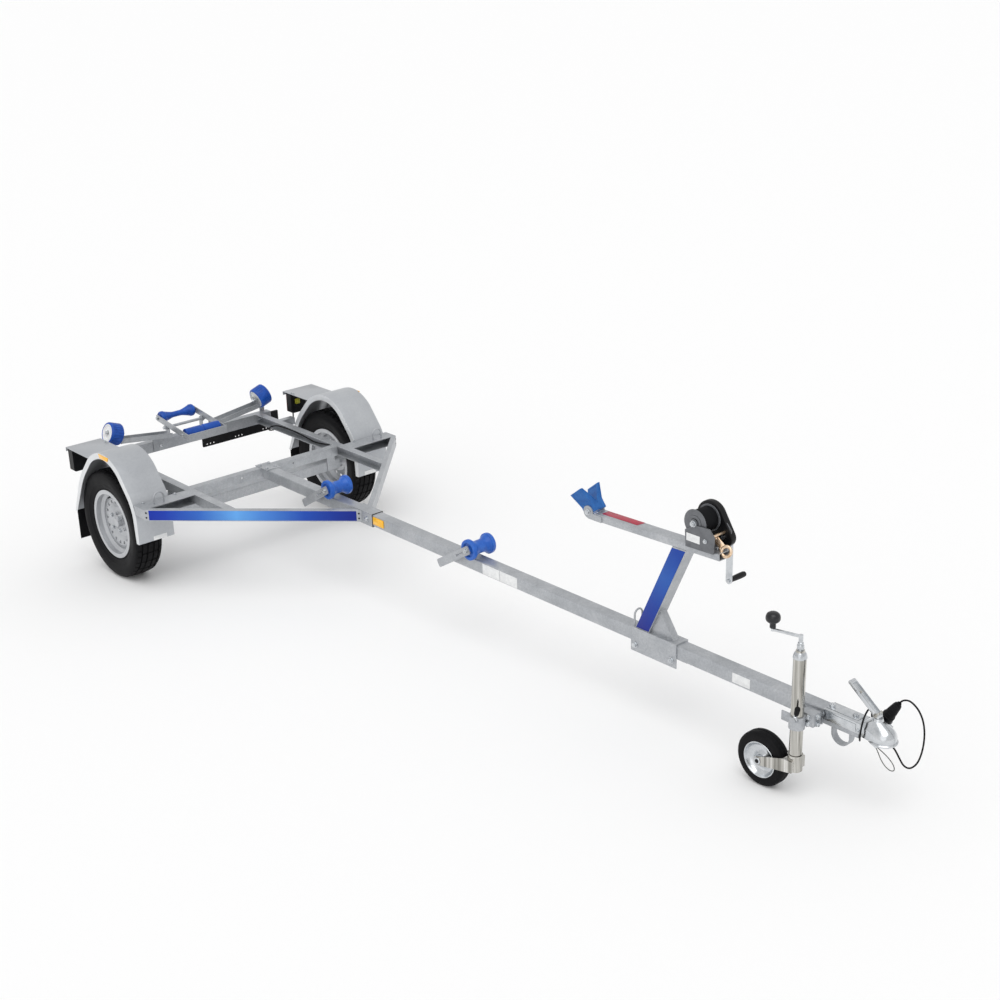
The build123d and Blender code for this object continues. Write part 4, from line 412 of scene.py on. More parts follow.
def prism(bm: Mesh, outline: Sequence[Point], depth: Point, edge: float) -> None:
    """Add a plate: a flat outline pushed along a vector.

    Args:
        bm: The mesh.
        outline: Corner points in order, all in one plane.
        depth: Vector from the outline to the far side.
        edge: Rounding of every edge.
    """
    face = bm.faces.new([bm.verts.new(p) for p in outline])
    made = bmesh.ops.extrude_face_region(bm, geom=[face])["geom"]
    moved = [g for g in made if isinstance(g, bmesh.types.BMVert)]
    bmesh.ops.translate(bm, vec=depth, verts=moved)
    solid = {f for v in moved + list(face.verts) for f in v.link_faces}
    bmesh.ops.recalc_face_normals(bm, faces=list(solid))
    soften(bm, {e for f in solid for e in f.edges}, edge)


def lathe(bm: Mesh, profile: Profile, at: Point, along: Point, steps: int = 48,
          closed: bool = False) -> list[bmesh.types.BMFace]:
    """Spin a profile of (reach along the axis, radius) pairs round an axis.

    Args:
        bm: The mesh.
        profile: Points of the section.
        at: Point of the axis where the reach is zero.
        along: Direction of the axis.
        steps: Facets round the axis.
        closed: True if the section closes on itself, as a tyre's does.

    Returns:
        The faces made.
    """
    before = set(bm.verts)
    points = [bm.verts.new((radius, 0, reach)) for reach, radius in profile]
    pairs = list(zip(points, points[1:])) + ([(points[-1], points[0])] if closed else [])
    edges = [bm.edges.new(pair) for pair in pairs]
    bmesh.ops.spin(bm, geom=points + edges, cent=(0, 0, 0), axis=UP, dvec=(0, 0, 0),
                   angle=math.tau, steps=steps, use_merge=True, use_duplicate=False)
    bmesh.ops.remove_doubles(bm, verts=[v for v in bm.verts if v not in before], dist=0.001)
    made = [v for v in bm.verts if v not in before]
    bmesh.ops.transform(bm, matrix=aimed(at, along), verts=made)
    faces = list({f for v in made for f in v.link_faces})
    bmesh.ops.recalc_face_normals(bm, faces=faces)
    return faces


def mirrored(half: Profile) -> Profile:
    """Whole section from the half of it that lies at positive reach."""
    return [*half, *((-reach, radius) for reach, radius in reversed(half))]


def wrap(bm: Mesh) -> None:
    """Replace everything in a mesh by one convex skin round it."""
    bmesh.ops.delete(bm, geom=bm.edges[:] + bm.faces[:], context="EDGES_FACES")
    bmesh.ops.convex_hull(bm, input=bm.verts[:])
    bmesh.ops.delete(bm, geom=[v for v in bm.verts if not v.link_faces], context="VERTS")
    bmesh.ops.recalc_face_normals(bm, faces=bm.faces)


def hex_head(bm: Mesh, at: Point, along: Point, head: Head, spin: float = 0.0) -> None:
    """Add a bolt head or nut with a chamfered rim, its washer and the bolt's end.

    Args:
        bm: The mesh.
        at: Middle of the seat.
        along: Direction away from the seat.
        head: Which head.
        spin: Turn about the axis, in degrees.
    """
    across, height, washer = head.value
    at, way = Vector(at), Vector(along).normalized()
    seat = at + way * WASHER_THICKNESS
    rod(bm, at, seat, washer, 24, 0.4)
    made = bmesh.ops.create_cone(bm, cap_ends=True, segments=6, radius1=across / math.sqrt(3),
                                 radius2=across / math.sqrt(3), depth=height)["verts"]
    bmesh.ops.transform(bm, matrix=aimed(seat + way * height / 2, way, spin), verts=made)
    soften(bm, {e for v in made for e in v.link_edges}, 0.8, 2)
    rod(bm, seat + way * (height - 0.4), seat + way * (height + BOLT_END), across * 0.28, 16, 0.5)


def link(name: str, data: bpy.types.ID) -> bpy.types.Object:
    """Put data in the scene as an object at the origin."""
    made = bpy.data.objects.new(name, data)
    bpy.context.scene.collection.objects.link(made)
    return made


def piece(name: str, bm: Mesh, finish: Finish | Sequence[Finish], body: str = "chassis",
          slot: str = "", node: str = "", smooth: float = CRISP_ANGLE) -> bpy.types.Object:
    """Turn a mesh in level millimetres into a finished, riding piece.

    Args:
        name: Name of the piece.
        bm: The mesh; it is freed.
        finish: Its finish, or several for faces with material numbers.
        body: The body it rides on.
        slot: The record's material slot; not used.
        node: CAD node that it stands for.
        smooth: Edges sharper than this angle, in degrees, stay crisp.

    Returns:
        The object.
    """
    bmesh.ops.transform(bm, matrix=PARKED, verts=bm.verts)
    mesh = bpy.data.meshes.new(name)
    bm.to_mesh(mesh)
    bm.free()
    for polygon in mesh.polygons:
        polygon.use_smooth = True
    mesh.set_sharp_from_angle(angle=math.radians(smooth))
    made = link(name, mesh)
    for one in (finish,) if isinstance(finish, Finish) else finish:
        mesh.materials.append(one.material())
    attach(made, body)
    if node:
        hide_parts(node)
    LOG.info("piece %s: %d faces", name, len(mesh.polygons))
    return made


def turned(name: str, finish: Finish, profile: Profile, at: Point, along: Point, steps: int = 48,
           closed: bool = False, **riding: str) -> bpy.types.Object:
    """Make a piece that is one turned shape.

    Args:
        name: Name of the piece.
        finish: Its finish.
        profile: Section, as for lathe.
        at: Point of the axis where the reach is zero.
        along: Direction of the axis.
        steps: Facets round the axis.
        closed: True if the section closes on itself.
        riding: Body, slot and node, as for piece.

    Returns:
        The object.
    """
    bm = bmesh.new()
    lathe(bm, profile, at, along, steps, closed)
    return piece(name, bm, finish, **riding)


def bolted(name: str, heads: Iterable[tuple], body: str = "chassis", slot: str = "") -> None:
    """Make a piece of bright bolt heads.

    Args:
        name: Name of the piece.
        heads: Seat, direction, head and, where needed, spin of each.
        body: The body it rides on.
        slot: The record's material slot.
    """
    bm = bmesh.new()
    for head in heads:
        hex_head(bm, *head)
    piece(name, bm, BRIGHT_ZINC, body, slot)


def slabs(name: str, finish: Finish, corners: Iterable[tuple[Point, Point]], edge: float,
          slot: str = "") -> None:
    """Make a piece of rounded blocks fixed to the chassis.

    Args:
        name: Name of the piece.
        finish: Its finish.
        corners: Lowest and highest corner of each block.
        edge: Width of the rounding.
        slot: The record's material slot.
    """
    bm = bmesh.new()
    for low, high in corners:
        block(bm, low, high, edge)
    piece(name, bm, finish, slot=slot)


# ---------------------------------------------------------------- camera, floor and lamps
@dataclass
class Studio:
    """Camera at the viewing place, plain pale floor and soft light."""

    camera_at: Point = (6853.0, -4047.6, 3197.1)
    yaw: float = 48.956
    pitch: float = 21.136
    roll: float = -1.640
    lens: float = 54.96
    sensor: float = 36.0
    far_limit: float = 1000.0
    floor_half: float = 400.0
    paper: str = "#F8F8F8"
    world_level: float = 0.78
    lamp_spread: float = 50.0
    lamps_at: Sequence[tuple[str, float, Point]] = (
        ("key", 0.85, (-0.35, 0.35, -1.0)),
        ("side", 0.3, (-0.45, 0.85, -0.4)),
    )

    def camera(self) -> None:
        """Make the camera and set it as the scene's."""
        yaw, pitch, roll = (math.radians(a) for a in (self.yaw, self.pitch, self.roll))
        way = Vector((-math.sin(yaw) * math.cos(pitch), math.cos(yaw) * math.cos(pitch),
                      -math.sin(pitch)))
        flat = Vector((math.cos(yaw), math.sin(yaw), 0))
        rise = flat.cross(way)
        right = flat * math.cos(roll) + rise * math.sin(roll)
        up = rise * math.cos(roll) - flat * math.sin(roll)
        turn = Matrix((right, up, -way)).transposed().to_4x4()
        data = bpy.data.cameras.new("camera")
        data.lens, data.sensor_width, data.clip_end = self.lens, self.sensor, self.far_limit
        made = link("camera", data)
        made.matrix_world = Matrix.Translation(PARKED @ Vector(self.camera_at)) @ TURN @ turn
        bpy.context.scene.camera = made

    def floor(self) -> None:
        """Make the plain pale floor."""
        bm = bmesh.new()
        bmesh.ops.create_grid(bm, x_segments=1, y_segments=1, size=self.floor_half)
        mesh = bpy.data.meshes.new("floor")
        bm.to_mesh(mesh)
        bm.free()
        paper = bpy.data.materials.new("white_paper_floor")
        paper.use_nodes = True
        shader = paper.node_tree.nodes["Principled BSDF"]
        shader.inputs["Base Color"].default_value = linear(self.paper)
        shader.inputs["Roughness"].default_value = 0.9
        shader.inputs["Specular IOR Level"].default_value = 0.1
        mesh.materials.append(paper)
        link("floor", mesh)

    def lamps(self) -> None:
        """Even white surroundings, a broad lamp from above and a weak one from the right."""
        world = bpy.data.worlds.new("white_room")
        bpy.context.scene.world = world
        world.use_nodes = True
        tree = world.node_tree
        seen = add_node(tree, "ShaderNodeLightPath")
        level = add_node(tree, "ShaderNodeMix", {2: self.world_level, 3: 1.0},
                         {0: seen.outputs["Is Camera Ray"]}).outputs[0]
        back = tree.nodes["Background"]
        back.inputs[0].default_value = (1.0, 1.0, 1.0, 1.0)
        tree.links.new(level, back.inputs[1])
        for name, strength, aim in self.lamps_at:
            sun = bpy.data.lights.new(name, "SUN")
            sun.energy, sun.angle = strength, math.radians(self.lamp_spread)
            link(name, sun).rotation_euler = Vector(aim).to_track_quat("-Z", "Y").to_euler()
        bpy.context.scene.view_settings.view_transform = "Standard"

    def build(self) -> None:
        """Set the whole stage."""
        self.camera()
        self.floor()
        self.lamps()


# ---------------------------------------------------------------- loose cables and the plug
@dataclass(frozen=True)
class Cable:
    """One loose cable: its route in level millimetres and what it is."""

    name: str
    node: str
    route: Sequence[Point]
    diameter: float
    length: float
    finish: Finish
    slot: str

    def run(self) -> bpy.types.Object:
        """Lay the cable along its route as a single smooth spline.

        Returns:
            The curve object.
        """
        curve = bpy.data.curves.new(self.name, "CURVE")
        curve.dimensions = "3D"
        curve.bevel_depth = self.diameter / 2 * MM
        curve.bevel_resolution = 4
        curve.use_fill_caps = True
        spline = curve.splines.new("NURBS")
        spline.points.add(len(self.route) - 1)
        for knot, point in zip(spline.points, self.route):
            knot.co = (*(PARKED @ Vector(point)), 1.0)
        spline.order_u = 3
        spline.use_endpoint_u = True
        spline.resolution_u = 8
        curve.materials.append(self.finish.material())
        made = link(self.name, curve)
        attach(made, "chassis")
        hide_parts(self.node)
        LOG.info("piece %s", self.name)
        return made


@dataclass
class LooseCables:
    """The lamp cable with its plug round the coupling, and the safety cable's loop."""

    lead: Cable = Cable(
        "plug_cable", "plug_cord",
        ((4086, 0, 434.5), (4102, 0, 434.5), (4118, -14, 433.5), (4131, -34, 437),
         (4139, -46, 455), (4142, -49, 482), (4143, -44, 512), (4141, -30, 537), (4136, -6, 550),
         (4129, 20, 548), (4121, 43, 531), (4113, 56, 503), (4113, 61, 470), (4126, 64, 440),
         (4154, 65, 422), (4188, 64, 414), (4216, 62, 397), (4234, 62, 372), (4254, 62, 348),
         (4280, 62, 348), (4306, 62, 378), (4320, 62, 420), (4327, 62, 470), (4326, 62, 518),
         (4315, 63, 558), (4296, 64, 586), (4276, 65, 600), (4256, 66, 607), (4238, 66, 603.5),
         (4222.70, 66, 593.74), (4215.28, 66, 581.87)),
        6.5, 883.6, SOFT_RUBBER, "black_rubber")
    safety: Cable = Cable(
        "breakaway_cable", "safety_cable",
        ((4152, -5, 458), (4152, -5, 441), (4167, -5, 430), (4182, -5, 418), (4192, -5, 401),
         (4204, -5, 380), (4222, -5, 362), (4245, -5, 353), (4262, -5, 361), (4258, -5, 380),
         (4236, -5, 400), (4208, -5, 414), (4186, -5, 422.5)),
        3.5, 265.6, STEEL_STRAND, "zinc_bright")
    plug_mouth: Profile = ((0, 0), (0, 21.5), (1.5, 23.4), (22, 23.6), (24, 22))
    plug_neck: Profile = ((82, 14.2), (85, 12.5), (86, 9.4), (94, 8.2), (95, 5.4), (95, 0))
    rib_count: int = 6
    rib_pitch: int = 9
    ring: Profile = ((-2.5, 24.9), (-2.5, 26.6), (0.2, 26.6), (0.6, 25.9), (0.2, 24.9))

    def plug(self) -> bpy.types.Object:
        """Ribbed rubber plug, wide at its pins and narrow at the cable."""
        ribs = []
        for number in range(self.rib_count):
            low = 25 + number * self.rib_pitch
            radius = 24 - (low + 4) * 9 / 86
            ribs += [(low, radius - 1.6), (low + 1.5, radius), (low + 6, radius - 0.4),
                     (low + 7.5, radius - 2.2)]
        return turned("plug_body", SOFT_RUBBER, [*self.plug_mouth, *ribs, *self.plug_neck],
                      HOLDER_AT, HOLDER_WAY, slot="black_rubber", node="plug")

    def build(self) -> None:
        """Make the cables first, then what they carry."""
        lead, safety = self.lead, self.safety
        cord, wire = lead.run(), safety.run()
        plug = self.plug()
        turned("plug_holder_ring", BRIGHT_ZINC, self.ring, HOLDER_AT, HOLDER_WAY, closed=True,
               slot="zinc_bright")


# ---------------------------------------------------------------- road wheels
@dataclass
class RoadWheel:
    """Radial tyre on a vented steel rim."""

    label: str
    side: int
    centre_y: float = 685.0
    tread_steps: int = 180
    groove_depth: float = 6.0
    cut_inset: float = 2.2
    cut_depth: float = 3.5
    bolt_count: int = 4
    bolt_reach: float = 49.0
    bolt_seat: float = 30.0
    valve_at: Point = (0.0, 40.0, 152.0)
    wall: Profile = (
        (50, 165.5), (53.4, 168), (53.8, 183), (57.5, 187.5), (62.5, 191), (63.2, 196), (66, 203),
        (70, 214), (71.2, 215), (71.6, 218), (74.2, 228), (76.2, 238), (77.4, 247), (76.9, 257),
        (75.4, 263), (75.2, 266), (72.4, 273), (68, 279), (62, 283.4))
    cavity: Profile = (
        (-42, 168), (-44, 186), (-66, 246), (-55, 271), (55, 271), (66, 246), (44, 186), (42, 168))
    cap: Profile = (
        (24, 0), (24, 24.2), (33, 24.2), (33.6, 25), (35.2, 25), (36, 23.8), (37.6, 21),
        (38.6, 15), (39, 7), (39, 0))

    @property
    def hub(self) -> Vector:
        """Middle of the wheel."""
        return Vector((0.0, self.side * self.centre_y, WHEEL_RADIUS))

    @property
    def body(self) -> str:
        """Body that turns with the wheel."""
        return f"road_wheel_{self.label}"

    def section(self) -> Profile:
        """Whole tyre section: sidewalls, grooved tread and the inside."""
        deep = self.groove_depth
        tread = ((50.5, 285.4), (49.5, 285.6 - deep), (43.5, 286 - deep), (42.5, 286.6),
                 (21.5, 288.2), (20.5, 288 - deep), (14.5, 288 - deep), (13.5, 288.6))
        return [*mirrored((*self.wall, *tread)), *self.cavity]

    def is_cut(self, middle: Vector) -> bool:
        """Say whether a tread face is one of the cross cuts.

        Args:
            middle: Middle of the face, from the hub.

        Returns:
            True for every fourth column of the shoulders and every sixth of the crown.
        """
        turn = math.degrees(math.atan2(middle.z, middle.x)) % 360
        column = int(turn / 360 * self.tread_steps)
        reach, radius = abs(middle.y), math.hypot(middle.x, middle.z)
        return (column % 4 == 0 and radius > 278 and 50.5 < reach < 71
                or column % 6 == 2 and radius > 285 and reach < 42)

    def tyre(self) -> None:
        """Tyre with ring grooves, cross cuts in the shoulders and raised sidewall rings."""
        bm = bmesh.new()
        faces = lathe(bm, self.section(), self.hub, (0, self.side, 0), self.tread_steps, True)
        cuts = [f for f in faces if self.is_cut(f.calc_center_median() - self.hub)]
        bmesh.ops.inset_individual(bm, faces=cuts, thickness=self.cut_inset, depth=0.0)
        for face in cuts:
            middle = face.calc_center_median() - self.hub
            sink = Vector((middle.x, 0, middle.z)).normalized() * -self.cut_depth
            bmesh.ops.translate(bm, vec=sink, verts=list(face.verts))
        piece(f"road_tyre_{self.label}", bm, TYRE_RUBBER, self.body, "tyre_rubber",
              f"tyre_{self.label}", 28)

    def fittings(self) -> None:
        """Bright wheel bolts, a domed grease cap and a rubber valve."""
        way = Vector((0, self.side, 0))
        heads = []
        for number in range(self.bolt_count):
            turn = math.radians(45 + 90 * number)
            at = self.hub + Vector((math.cos(turn), 0, math.sin(turn))) * self.bolt_reach
            heads.append((at + way * self.bolt_seat, way, Head.AF19_WHEEL, 12.0 * number))
        bolted(f"wheel_bolts_{self.label}", heads, self.body, "zinc_bright")
        turned(f"grease_cap_{self.label}", WHEEL_LACQUER, self.cap, self.hub, way,
               body=self.body, slot="wheel_silver")
        bm = bmesh.new()
        foot = self.hub + Vector((0, self.side * self.valve_at[1], self.valve_at[2]))
        rod(bm, foot, foot + way * 14 + Vector((0, 0, -5)), 5.2, 16, 0.8, 4.2)
        rod(bm, foot + way * 13 + Vector((0, 0, -4.6)), foot + way * 24 + Vector((0, 0, -8.4)),
            3.6, 16, 0.6)
        piece(f"tyre_valve_{self.label}", bm, SOFT_RUBBER, self.body, "tyre_rubber")

    def build(self) -> None:
        """Tyre, then the fittings on the rim."""
        self.tyre()
        self.fittings()


# ---------------------------------------------------------------- fenders, lamps and mudflaps
@dataclass
class Fender:
    """Rolled sheet fender with a shelf, a tail lamp under it and a mudflap."""

    label: str
    side: int
    inner_y: float = 580.0
    outer_y: float = 782.0
    flange: float = 31.0
    sheet: float = 2.0
    bottom: float = 285.0
    arch: Profile = ((-358.0, 225.0), (-229.0, 502.0), (-45.0, 694.0), (165.0, 698.0),
                     (350.0, 478.0), (350.0, 225.0))
    fillets: Sequence[float] = (70.0, 98.0, 98.0, 75.0)
    shelf: Sequence[float] = (-348.0, -96.0, 632.0, 635.0)
    shelf_skirt: float = 19.0
    reflector: Profile = ((24.0, 690.5), (128.0, 690.5), (116.0, 667.0), (32.0, 667.5))
    lamp_fields: Sequence[float] = (602.0, 656.0, 714.0, 770.0)
    lamp_height: Sequence[float] = (509.0, 611.0)
    socket_y: float = 640.0
    flap_bolts: Sequence[float] = (615.0, 681.0, 747.0)

    def shell(self) -> None:
        """Arch with rounded corners, side flanges and the flat shelf with its skirts."""
        bm = bmesh.new()
        near, far = self.side * self.inner_y, self.side * self.outer_y
        base = [bm.verts.new((x, near, z)) for x, z in self.arch]
        bm.faces.new(base)
        for vert, offset in zip(base[1:-1], self.fillets):
            bmesh.ops.bevel(bm, geom=[vert], offset=offset, segments=14, profile=0.5,
                            material=-1, affect="VERTICES", clamp_overlap=False)
        made = bmesh.ops.extrude_face_region(bm, geom=bm.faces[:])["geom"]
        bmesh.ops.translate(bm, vec=(0, far - near, 0),
                            verts=[v for v in made if isinstance(v, bmesh.types.BMVert)])
        bmesh.ops.recalc_face_normals(bm, faces=bm.faces)
        caps = [f for f in bm.faces if abs(f.normal.y) > 0.9]
        # The flange band takes the second finish: the same sheet with a painted highlight.
        for face in bmesh.ops.inset_individual(bm, faces=caps, thickness=self.flange)["faces"]:
            face.material_index = 1
        bmesh.ops.delete(bm, geom=caps, context="FACES_ONLY")
        floor = [f for f in bm.faces if f.normal.z < -0.9]
        bmesh.ops.delete(bm, geom=floor, context="FACES_ONLY")
        bmesh.ops.bisect_plane(bm, geom=bm.verts[:] + bm.edges[:] + bm.faces[:],
                               plane_co=(0, 0, self.bottom), plane_no=UP, clear_inner=True)
        folds = [e for e in bm.edges if len(e.link_faces) == 2 and e.calc_face_angle(0) > 1.2]
        soften(bm, folds, 3.0, 3)
        bmesh.ops.solidify(bm, geom=bm.faces[:], thickness=self.sheet)
        bmesh.ops.recalc_face_normals(bm, faces=bm.faces)
        rear, front, low, high = self.shelf
        flank(bm, self.side, (rear, self.inner_y, low), (front, self.outer_y, high), 0.8)
        flank(bm, self.side, (rear, self.inner_y, low - self.shelf_skirt),
              (rear + 3, self.outer_y, high - 0.6), 0.6)
        piece(f"fender_shell_{self.label}", bm, (SHEET_ZINC, PAINTED_HIGHLIGHT_ZINC), slot="fender_grey",
              node=f"fender_{self.label}", smooth=26)

    def marks(self) -> None:
        """Reflector on the outer flange, blank label at the foot and the fixing bolts."""
        side, out = self.side, self.side * (self.outer_y + 0.3)
        bm = bmesh.new()
        prism(bm, [(x, out, z) for x, z in self.reflector], (0, side * 2.0, 0), 0.7)
        piece(f"fender_reflector_{self.label}", bm, AMBER_REFLECTOR)
        bm = bmesh.new()
        flank(bm, side, (350.2, 623, 286), (350.9, 699, 308), 0.2)
        piece(f"fender_label_{self.label}", bm, WHITE_VINYL)
        bolted(f"fender_bolts_{self.label}",
               [((x, side * 590, 635.2), UP, Head.AF10) for x in (-272, -252)])

    def lamp(self) -> None:
        """Tail lamp: lens with its coloured fields, parting ribs and plug socket."""
        side, (low, high) = self.side, self.lamp_height
        bm = bmesh.new()
        for number, (near, far) in enumerate(zip(self.lamp_fields, self.lamp_fields[1:])):
            done = set(bm.faces)
            flank(bm, side, (-352.5, near + 0.2, low), (-345.2, far - 0.2, high), 3.0)
            for face in set(bm.faces) - done:
                face.material_index = number
        piece(f"lamp_lens_{self.label}", bm, (RED_LENS, CLEAR_LENS, AMBER_LENS))
        bm = bmesh.new()
        for y in (657, 713):
            flank(bm, side, (-353.4, y - 1.5, low), (-346, y + 1.5, high), 0.6)
        piece(f"lamp_ribs_{self.label}", bm, BLACK_PLASTIC, slot="black_plastic")
        bm = bmesh.new()
        flank(bm, side, (-298.7, self.socket_y - 14, 560), (-286, self.socket_y + 14, 590), 2.0)
        rod(bm, (-286.5, side * self.socket_y, 575), (-276, side * self.socket_y, 575), 9, 20,
            1.0, 7)
        piece(f"lamp_socket_{self.label}", bm, SOCKET_NYLON)

    def flap(self) -> None:
        """Zinc strip and bolts that hold the mudflap to the fender's rear leg."""
        bm = bmesh.new()
        flank(bm, self.side, (-337.4, 598, 261), (-334.2, 764, 281), 0.6)
        for y in self.flap_bolts:
            hex_head(bm, (-337.5, self.side * y, 271), BACK, Head.AF10)
        piece(f"mudflap_strip_{self.label}", bm, BRIGHT_ZINC)

    def build(self) -> None:
        """Shell, marks, lamp and the mudflap's strip."""
        self.shell()
        self.marks()
        self.lamp()
        self.flap()


# ---------------------------------------------------------------- rollers
@dataclass
class Rollers:
    """Hull rollers: two ribbed wheels behind, two keel spools and the cradle's pair."""

    side_at: Point = (-415.0, 472.0, 617.0)
    side_tilt: float = 20.0
    side_radius: float = 60.0
    side_half: float = 37.0
    rib_step: float = 3.75
    rib_inset: float = 1.0
    rib_depth: float = 1.6
    keel_x: Sequence[tuple[str, float]] = (("rear", 977.0), ("mid", 2050.0))
    keel_z: float = 550.0
    keel_half: Profile = (
        (63.5, 8.6), (63.5, 12), (58, 14), (57, 30), (63, 33), (64, 36), (64, 44.5), (62.6, 47),
        (60, 48), (48, 48), (45.5, 46.4), (44.5, 43.5), (42, 42), (36, 39), (28, 34.4), (22, 32),
        (16, 31))
    cradle_at: Point = (-481.0, 0.0, 578.0)
    cradle_slope: float = 7.4
    bow_reach: float = -80.0
    bow_half: Profile = (
        (106.5, 6.8), (106.5, 12), (104, 15), (104, 24), (106.5, 26.5), (106, 29), (99, 33.6),
        (90, 34), (83, 33.4), (80.5, 31), (60, 24.6), (40, 19), (30, 16.8), (22, 16))
    drum_reach: float = 190.0
    drum_half: Profile = (
        (106.5, 6.8), (106.5, 12), (103, 14), (102, 24), (106.5, 26), (106.5, 28), (104, 30),
        (9, 30), (7.5, 29.6), (6, 27.2), (3, 26.4))

    def side_wheel(self, label: str, side: int) -> None:
        """Ribbed blue wheel with a white hub disc.

        Args:
            label: Name of the side.
            side: -1 for right, 1 for left.
        """
        tilt = math.radians(self.side_tilt)
        at = Vector((self.side_at[0], side * self.side_at[1], self.side_at[2]))
        way = Vector((0, side * math.cos(tilt), math.sin(tilt)))
        half, reach, body = self.side_half, self.side_radius, f"side_roller_{label}"
        bm = bmesh.new()
        faces = lathe(bm, [
            (-half + 3, 48.5), (-half, 50), (-half, 53), (-half + 3, 57.5),
            (-half + 7, reach - 0.3), (-half + 10, reach), (half - 10, reach),
            (half - 7, reach - 0.3), (half - 3, 57.5), (half, 53), (half, 50),
            (half - 3, 48.5)], at, way, 96, closed=True)
        cuts = []
        across = way.orthogonal().normalized()
        other = way.cross(across)
        for face in faces:
            middle = face.calc_center_median() - at
            along = middle.dot(way)
            turn = math.degrees(math.atan2(middle.dot(other), middle.dot(across))) % 360
            rim = abs(along) < half - 11 and (middle - way * along).length > 57
            if rim and int(turn / self.rib_step) % 4 == 0:
                cuts.append(face)
        bmesh.ops.inset_individual(bm, faces=cuts, thickness=self.rib_inset, depth=0.0)
        for face in cuts:
            middle = face.calc_center_median() - at
            middle -= way * middle.dot(way)
            bmesh.ops.translate(bm, vec=middle.normalized() * -self.rib_depth,
                                verts=list(face.verts))
        piece(f"roller_tread_{label}", bm, ROYAL_BLUE, body, "blue_roller", body)
        hub = [(-half + 5, 8.4), (-half + 5, 40), (-half + 1.5, 44), (-half + 1.5, 49),
               (half - 1.5, 49), (half - 1.5, 44), (half - 5, 40), (half - 6, 24), (half - 3, 20),
               (half - 3, 15), (half - 6, 13), (half - 6, 8.4)]
        turned(f"roller_hub_{label}", HUB_WHITE, hub, at, way, 64, True, body=body)
        bolted(f"roller_bolt_{label}", [(at + way * (half - 2.4), way, Head.AF19),
                                        (at - way * (half + 13.2), -way, Head.AF19)])

    def keel_spool(self, name: str, x: float) -> None:
        """Light blue spool, waisted for the keel.

        Args:
            name: Which of the two brackets.
            x: Place of its axis.
        """
        body = f"keel_roller_{name}"
        turned(f"keel_spool_{name}", LIGHT_BLUE, mirrored(self.keel_half), (x, 0, self.keel_z),
               LEFT, 64, True, body=body, slot="blue_roller", node=body)
        bolted(f"keel_bolts_{name}", [((x, side * 74.2, self.keel_z), (0, side, 0), Head.AF19_SLIM)
                                      for _, side in SIDES])

    def cradle_point(self, reach: float) -> Vector:
        """Point on the cradle's line of rollers."""
        slope = math.radians(self.cradle_slope)
        return Vector(self.cradle_at) + Vector((math.cos(slope), 0, -math.sin(slope))) * reach

    def cradle_pair(self) -> None:
        """Waisted bow roller and the straight roller with a groove in its middle."""
        for kind, reach, half in (("bow", self.bow_reach, self.bow_half),
                                  ("drum", self.drum_reach, self.drum_half)):
            body = f"cradle_{kind}_roller"
            turned(f"cradle_{kind}_spool", ROYAL_BLUE, mirrored(half), self.cradle_point(reach),
                   LEFT, 56, True, body=body, slot="blue_roller", node=body)
        bolted("cradle_bolts", [
            (self.cradle_point(reach) + Vector((0, side * 120.2, 0)), (0, side, 0), Head.AF17)
            for reach in (self.bow_reach, self.drum_reach) for _, side in SIDES], "cradle")
        bolted("cradle_pivot_nuts", [((-481, side * 126.2, 552), (0, side, 0), Head.AF17)
                                     for _, side in SIDES])

    def build(self) -> None:
        """Every roller in turn."""
        for label, side in SIDES:
            self.side_wheel(label, side)
        for name, x in self.keel_x:
            self.keel_spool(name, x)
        self.cradle_pair()


